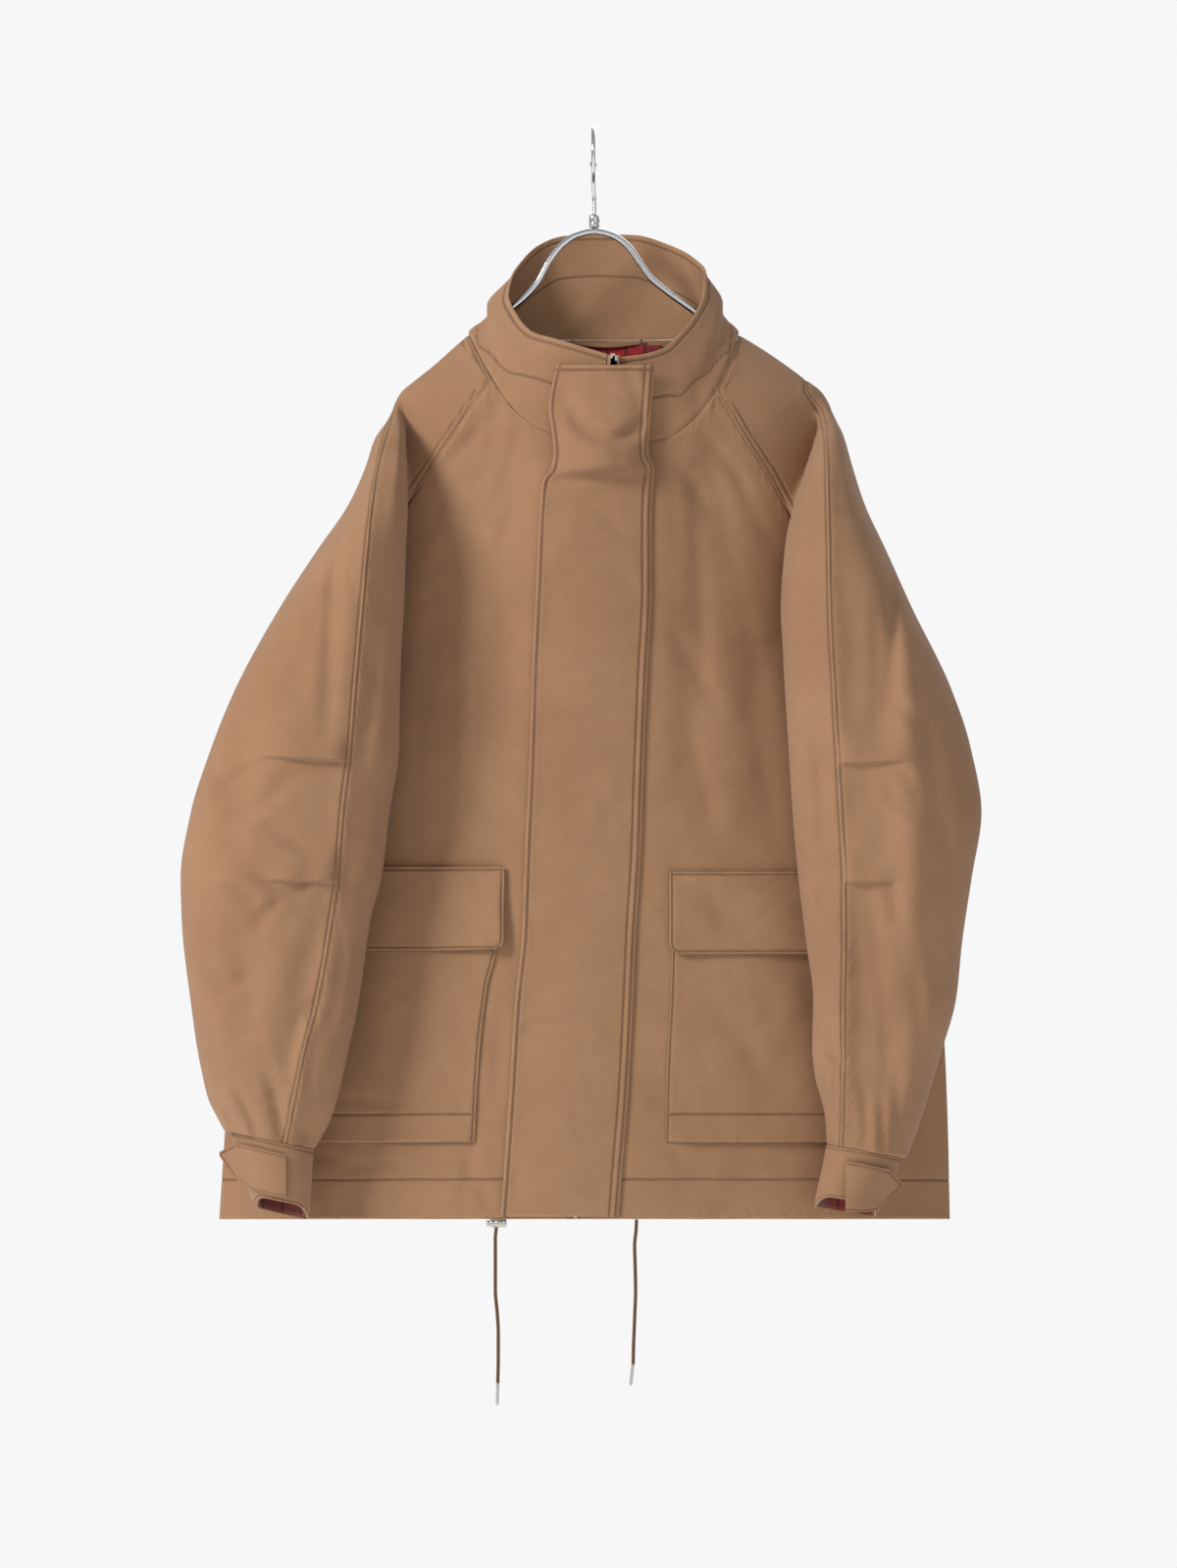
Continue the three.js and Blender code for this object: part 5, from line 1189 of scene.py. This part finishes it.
def cuff(side):
    outward = (-1, 0, 0) if side == "right" else (1, 0, 0)
    first, last = CUFF[side]["z"][0], CUFF[side]["z"][-1]
    angle = np.linspace(0, 2 * math.pi, 96, endpoint=False)[None, :]
    rise = CUFF_MOUTH * ramp(0, 0.9, np.sin(angle))
    z = mix(first, last - rise, edged(20, 60)[:, None])
    dented = 0.6 * np.sin(3 * angle + z / 30) * np.sin(math.pi * (z - first) / (last - first))
    obj = shell("cuff_" + side, cuff_ring(side, z, angle, dented), outward, thickness=2.0, closed=True,
                rolled=("bottom", "top"), roll=1.2, sewn=[("bottom", 2.4), ("top", 2.4)])
    stand_for("cuff_" + side)
    z = mix(mix(first, last, 0.3), last - 2 - rise, np.linspace(0, 1, 14)[:, None])
    lining = shell("cuff_lining_" + side, cuff_ring(side, z, angle, 3.2), outward,
                   thickness=LINING_THICKNESS, closed=True, material=PLAID)
    stand_for("cuff_lining_" + side)


def cuff_tab(side):
    at = columns(CUFF[side])
    rows = CUFF_TAB[side]
    i = mix(0, len(rows["x"]) - 1, edged(26, 60))
    keys = np.arange(len(rows["x"]))
    x, top, bottom = (np.interp(i, keys, rows[name])[None, :] for name in ("x", "top", "bottom"))
    z = mix(top, bottom, edged(16, 40, (0, 0.4, 0.9, 1.8))[:, None])
    middle = (at["inner"](z) + at["outer"](z)) / 2
    reach = np.abs(at["inner"](z) - at["outer"](z)) / 2
    out = np.abs(x - middle) / reach
    round_cuff = np.sqrt(1 - np.minimum(out, TAB_LEAVES) ** 2)
    y = at["centre"](z) - at["half"](z) * round_cuff - 2.6 - TAB_STAND[side]
    y = y + np.maximum(out - TAB_LEAVES, 0) * 14
    x = np.broadcast_to(x, y.shape)
    obj = shell("cuff_tab_" + side, place(x, y, z), (0, -1, 0), thickness=1.8,
                rolled=("top", "bottom", "last"), sewn=[("top", 2.2), ("bottom", 2.2)])
    stand_for("cuff_tab_" + side)


NECK_LINING = {"top": 352, "bottom": 430, "right": 545, "left": 675}
LOOP = {"right": 583, "left": 655, "rows": (346.5, 347.2, 348.5, 349.8, 350.5), "bow": 4}


def neck_lining():
    z = np.linspace(NECK_LINING["top"], NECK_LINING["bottom"], 24)[:, None]
    x = np.linspace(NECK_LINING["right"], NECK_LINING["left"], 40)[None, :] + 0 * z
    points = place(x, back_y(x, z) - 4.4 - 0.5 * np.sin(x / 9), z)
    obj = shell("neck_lining", points, (0, -1, 0), thickness=LINING_THICKNESS, material=PLAID)
    stand_for("neck_lining")


def hanger_loop():
    share = np.linspace(0, 1, 30)[None, :]
    bow = np.sin(math.pi * share)
    z = np.array(LOOP["rows"])[:, None]
    x = mix(LOOP["right"], LOOP["left"], share) + 0 * z
    points = place(x, back_y(x, z) - 5 - 3 * bow, z + LOOP["bow"] * bow)
    obj = shell("hanger_loop", points, (0, -1, 0), thickness=1.2)
    stand_for("hanger_loop")


# The hanger, the cords and their fittings
def tube(name, path, radius, sides, material, ends=True):
    """A round bar along a path in millimetres, its UV map in metres round and along it."""
    path = np.array(path, float)
    run = np.concatenate([[0], np.cumsum(np.linalg.norm(np.diff(path, axis=0), axis=1))])
    tangents = np.gradient(path, axis=0)
    tangents /= np.linalg.norm(tangents, axis=1)[:, None]
    side = np.cross(tangents[0], (0.31, 0.95, 0.12))
    rings = []
    radii = np.broadcast_to(radius, len(path))
    for point, tangent, r in zip(path, tangents, radii):
        side = side - tangent * (side @ tangent)
        side /= np.linalg.norm(side)
        other = np.cross(tangent, side)
        angles = np.linspace(0, 2 * math.pi, sides, endpoint=False)[:, None]
        rings.append(point + r * (np.cos(angles) * side + np.sin(angles) * other))
    count = len(path)
    ids = np.arange(count * sides).reshape(count, sides)
    after = np.roll(ids, -1, axis=1)
    quads = np.stack([ids[:-1], after[:-1], after[1:], ids[1:]], -1).reshape(-1, 4)
    faces = quads.tolist()
    if ends:
        faces += [ids[0][::-1].tolist(), ids[-1].tolist()]
    points = np.concatenate(rings)
    around = np.tile(np.arange(sides) / sides * 2 * math.pi * np.mean(radii), count)
    uv = np.stack([around, np.repeat(run, sides)], 1) / 1000
    obj = mesh_object(name, points, faces, material, uv)
    return obj


def curve_through(points, count):
    """A smooth path through points in millimetres."""
    points = np.array(points, float)
    run = np.concatenate([[0], np.cumsum(np.linalg.norm(np.diff(points, axis=0), axis=1))])
    at = np.linspace(0, run[-1], count)
    return np.stack([smooth(run, points[:, axis])(at) for axis in range(3)], 1)


def in_plane(points, y):
    """Photo points set at one depth, in millimetres."""
    x, z = np.array(points, float).T
    return place(x, np.full(len(x), float(y)), z)


def metal(name, node, path, radius, sides, material):
    obj = tube("metal_" + name, path, radius, sides, material)
    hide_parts(node)
    return obj


def hanger():
    bar = curve_through(in_plane(BAR_PATH, 0), 260)
    metal("hanger_bar", "hanger_bar", bar, BAR_RADIUS, 32, CHROME)
    top, bottom = (place(606.0, 0.0, float(FERRULE[end])) for end in ("top", "bottom"))
    height = top[2] - bottom[2]
    steps = [(0, 3.4), (0.02, 4.1), (0.08, 4.5), (0.3, 4.5), (0.34, 4.2), (0.38, 4.5), (0.85, 4.5),
             (0.9, 4.3), (0.97, 3.9), (1, 2.6)]
    path = [(top[0], 0, bottom[2] + height * share) for share, _ in steps]
    metal("hanger_ferrule", "hanger_ferrule", path, np.array([r for _, r in steps]), 40, CHROME)
    centre = WIRE_RADIUS - HOOK_RADIUS
    points = [(top[0], 0, top[2] - 0.6), (top[0], 0, -62), (0, -7, -48), (0, -17.5, -36)]
    for angle in (180, 150, 120, 90, 60, 30, 0, -12):
        turn = math.radians(angle)
        points.append((0, HOOK_RADIUS * math.cos(turn), centre + HOOK_RADIUS * math.sin(turn)))
    path = curve_through(points, 200)
    metal("hanger_hook", "hanger_hook", path, WIRE_RADIUS, 24, CHROME)
    bpy.ops.mesh.primitive_uv_sphere_add(segments=32, ring_count=20, radius=0.0031)
    ball = bpy.context.object
    ball.name = "hook_ball_tip"
    ball.location = Vector(points[-1]) / 1000
    ball.data.materials.append(CHROME)
    ball.data.polygons.foreach_set("use_smooth", [True] * len(ball.data.polygons))
    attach(ball, "root")


def drawcords():
    for side in ("right", "left"):
        path = curve_through(in_plane(CORDS[side], CORD_Y), 34)
        fine = curve_through(path, 240)
        cord = tube("braid_" + side, fine, CORD_RADIUS, 16, CORD)
        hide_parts("drawcord_" + side)
        start, end = in_plane(AGLETS[side], CORD_Y)
        along = [0, 0.015, 0.05, 0.12, 0.9, 0.97, 1]
        radii = np.array([1.15, 1.3, 1.35, 1.3, 1.3, 1.2, 0.8])
        tip = metal("aglet_" + side, "aglet_" + side, [start + (end - start) * t for t in along], radii, 20,
                    CORD_METAL)


def cord_lock():
    middle = place(float(LOCK["x"]), float(CORD_Y), float(LOCK["z"]))
    half = LOCK["length"] / 2
    shape = [(-1, 2.7), (-0.95, 3.3), (-0.86, 3.5), (-0.45, 3.5), (-0.4, 3.25), (-0.34, 3.5), (0.6, 3.5),
             (0.66, 3.2), (0.72, 3.5), (0.9, 3.5), (0.97, 3.2), (1, 2.6)]
    path = [middle + np.array([share * half, 0, 0]) for share, _ in shape]
    metal("cord_lock", "cord_lock", path, np.array([r for _, r in shape]), 40, CORD_METAL)
    end = middle - np.array([half + 0.3, 0, 0])
    shape = [(0, 2.3), (0.5, 2.5), (2.4, 2.5), (2.8, 2.2), (3, 1.6)]
    path = [end - np.array([share, 0, 0]) for share, _ in shape]
    metal("lock_button", "cord_lock_button", path, np.array([r for _, r in shape]), 32, CORD_METAL)


# Sewing
def resampled(line, normals, pitch):
    """Points, directions and normals at an even pitch along a line."""
    run = np.concatenate([[0], np.cumsum(np.linalg.norm(np.diff(line, axis=0), axis=1))])
    at = np.arange(pitch / 2, run[-1], pitch)
    points = np.stack([np.interp(at, run, line[:, axis]) for axis in range(3)], 1)
    facing = np.stack([np.interp(at, run, normals[:, axis]) for axis in range(3)], 1)
    facing /= np.maximum(np.linalg.norm(facing, axis=1, keepdims=True), 1e-9)
    return points, facing


def stitches(name, lines):
    """One mesh of small pointed threads, each lying in the hollow that its row leaves."""
    points, faces = [], []
    for line, normals in lines:
        if len(line) < 4:
            continue
        at, facing = resampled(line, normals, STITCH["pitch"])
        if len(at) < 3:
            continue
        ahead = np.gradient(at, axis=0)
        ahead /= np.maximum(np.linalg.norm(ahead, axis=1, keepdims=True), 1e-9)
        side = np.cross(facing, ahead)
        half, width, height = STITCH["length"] / 2, STITCH["width"], STITCH["height"]
        base = at - facing * 0.12
        corners = [base - ahead * half, base + side * width, base + ahead * half, base - side * width,
                   base + facing * height]
        count = len(at)
        first = sum(len(block) for block in points)
        block = np.stack(corners, 1).reshape(-1, 3)
        points.append(block)
        ids = first + np.arange(count)[:, None] * 5
        for a, b in ((0, 1), (1, 2), (2, 3), (3, 0)):
            faces.append(np.concatenate([ids + a, ids + b, ids + 4], 1)[:, ::-1])
    obj = mesh_object(name, np.concatenate(points), np.concatenate(faces), THREAD)
    return obj


# The pieces
hanger()
for wearer_side in ("right", "left"):
    front_panel(wearer_side)
    for half_name in ("front", "back"):
        sleeve_panel(wearer_side, half_name)
    pocket(wearer_side)
    pocket_flap(wearer_side)
    cuff(wearer_side)
    cuff_tab(wearer_side)
back_panel()
collar()
storm_flap()
zip_tape()
neck_lining()
hanger_loop()
drawcords()
cord_lock()
stitches("stitching", stitch_lines)

# Camera, light and floor
camera_data = bpy.data.cameras.new("camera")
camera = bpy.data.objects.new("camera", camera_data)
bpy.context.scene.collection.objects.link(camera)
camera.location = ((VIEW_X - HOOK_X) * MM_PER_UNIT / 1000, -VIEW_DISTANCE / 1000,
                   -(VIEW_Z - HOOK_Z) * MM_PER_UNIT / 1000)
camera.rotation_euler = (math.pi / 2, 0, 0)
camera_data.sensor_fit = "VERTICAL"
camera_data.sensor_height = SENSOR
camera_data.lens = SENSOR * VIEW_DISTANCE / (IMAGE_HEIGHT * MM_PER_UNIT)
bpy.context.scene.camera = camera
bpy.context.scene.view_settings.view_transform = "Standard"


LIGHT_TARGET = (0, 0, -0.6)
LIGHTS = {
    "soft_key": {
        "location": (-2.6, -1.9, 1.1), "size": (1.0, 1.0), "power": 96, "color": (1.0, 0.98, 0.945)},
    "front_fill": {
        "location": (1.2, -3.6, 0.2), "size": (2.4, 2.4), "power": 14, "color": (1.0, 0.99, 0.97)},
    "back_fill": {
        "location": (0.6, 1.7, 1.2), "size": (2.4, 2.4), "power": 26, "color": (1.0, 1.0, 1.0)},
}
SKY_LIGHT = 0.33
SKY_SEEN = (0.93, 0.93, 0.94, 1)


def area_light(name, location, target, size, power, color):
    data = bpy.data.lights.new(name, "AREA")
    data.shape = "RECTANGLE"
    data.size, data.size_y = size
    data.energy = power
    data.color = color
    obj = bpy.data.objects.new(name, data)
    obj.location = location
    obj.rotation_euler = (Vector(target) - Vector(location)).to_track_quat("-Z", "Y").to_euler()
    bpy.context.scene.collection.objects.link(obj)


for light_name, light in LIGHTS.items():
    area_light(light_name, target=LIGHT_TARGET, **light)

world = bpy.data.worlds.new("studio")
bpy.context.scene.world = world
world.use_nodes = True
sky_nodes = world.node_tree.nodes
sky = sky_nodes["Background"]
sky.inputs["Color"].default_value = (1, 1, 1, 1)
sky.inputs["Strength"].default_value = SKY_LIGHT
seen_sky = sky_nodes.new("ShaderNodeBackground")
seen_sky.inputs["Color"].default_value = SKY_SEEN
seen_sky.inputs["Strength"].default_value = 1.0
paths = sky_nodes.new("ShaderNodeLightPath")
either = sky_nodes.new("ShaderNodeMixShader")
links = world.node_tree.links
links.new(paths.outputs["Is Camera Ray"], either.inputs[0])
links.new(sky.outputs[0], either.inputs[1])
links.new(seen_sky.outputs[0], either.inputs[2])
links.new(either.outputs[0], sky_nodes["World Output"].inputs["Surface"])

# The floor ends in front of what the camera would see of it, so only the plain sky shows.
FLOOR = {"half_width": 6000, "front": -6000, "back": 1900, "z": -1800}
corners = [(x, y, FLOOR["z"]) for y in (FLOOR["front"], FLOOR["back"])
           for x in (-FLOOR["half_width"], FLOOR["half_width"])]
floor = mesh_object("floor", corners, grid_quads(2, 2, False), floor_material())
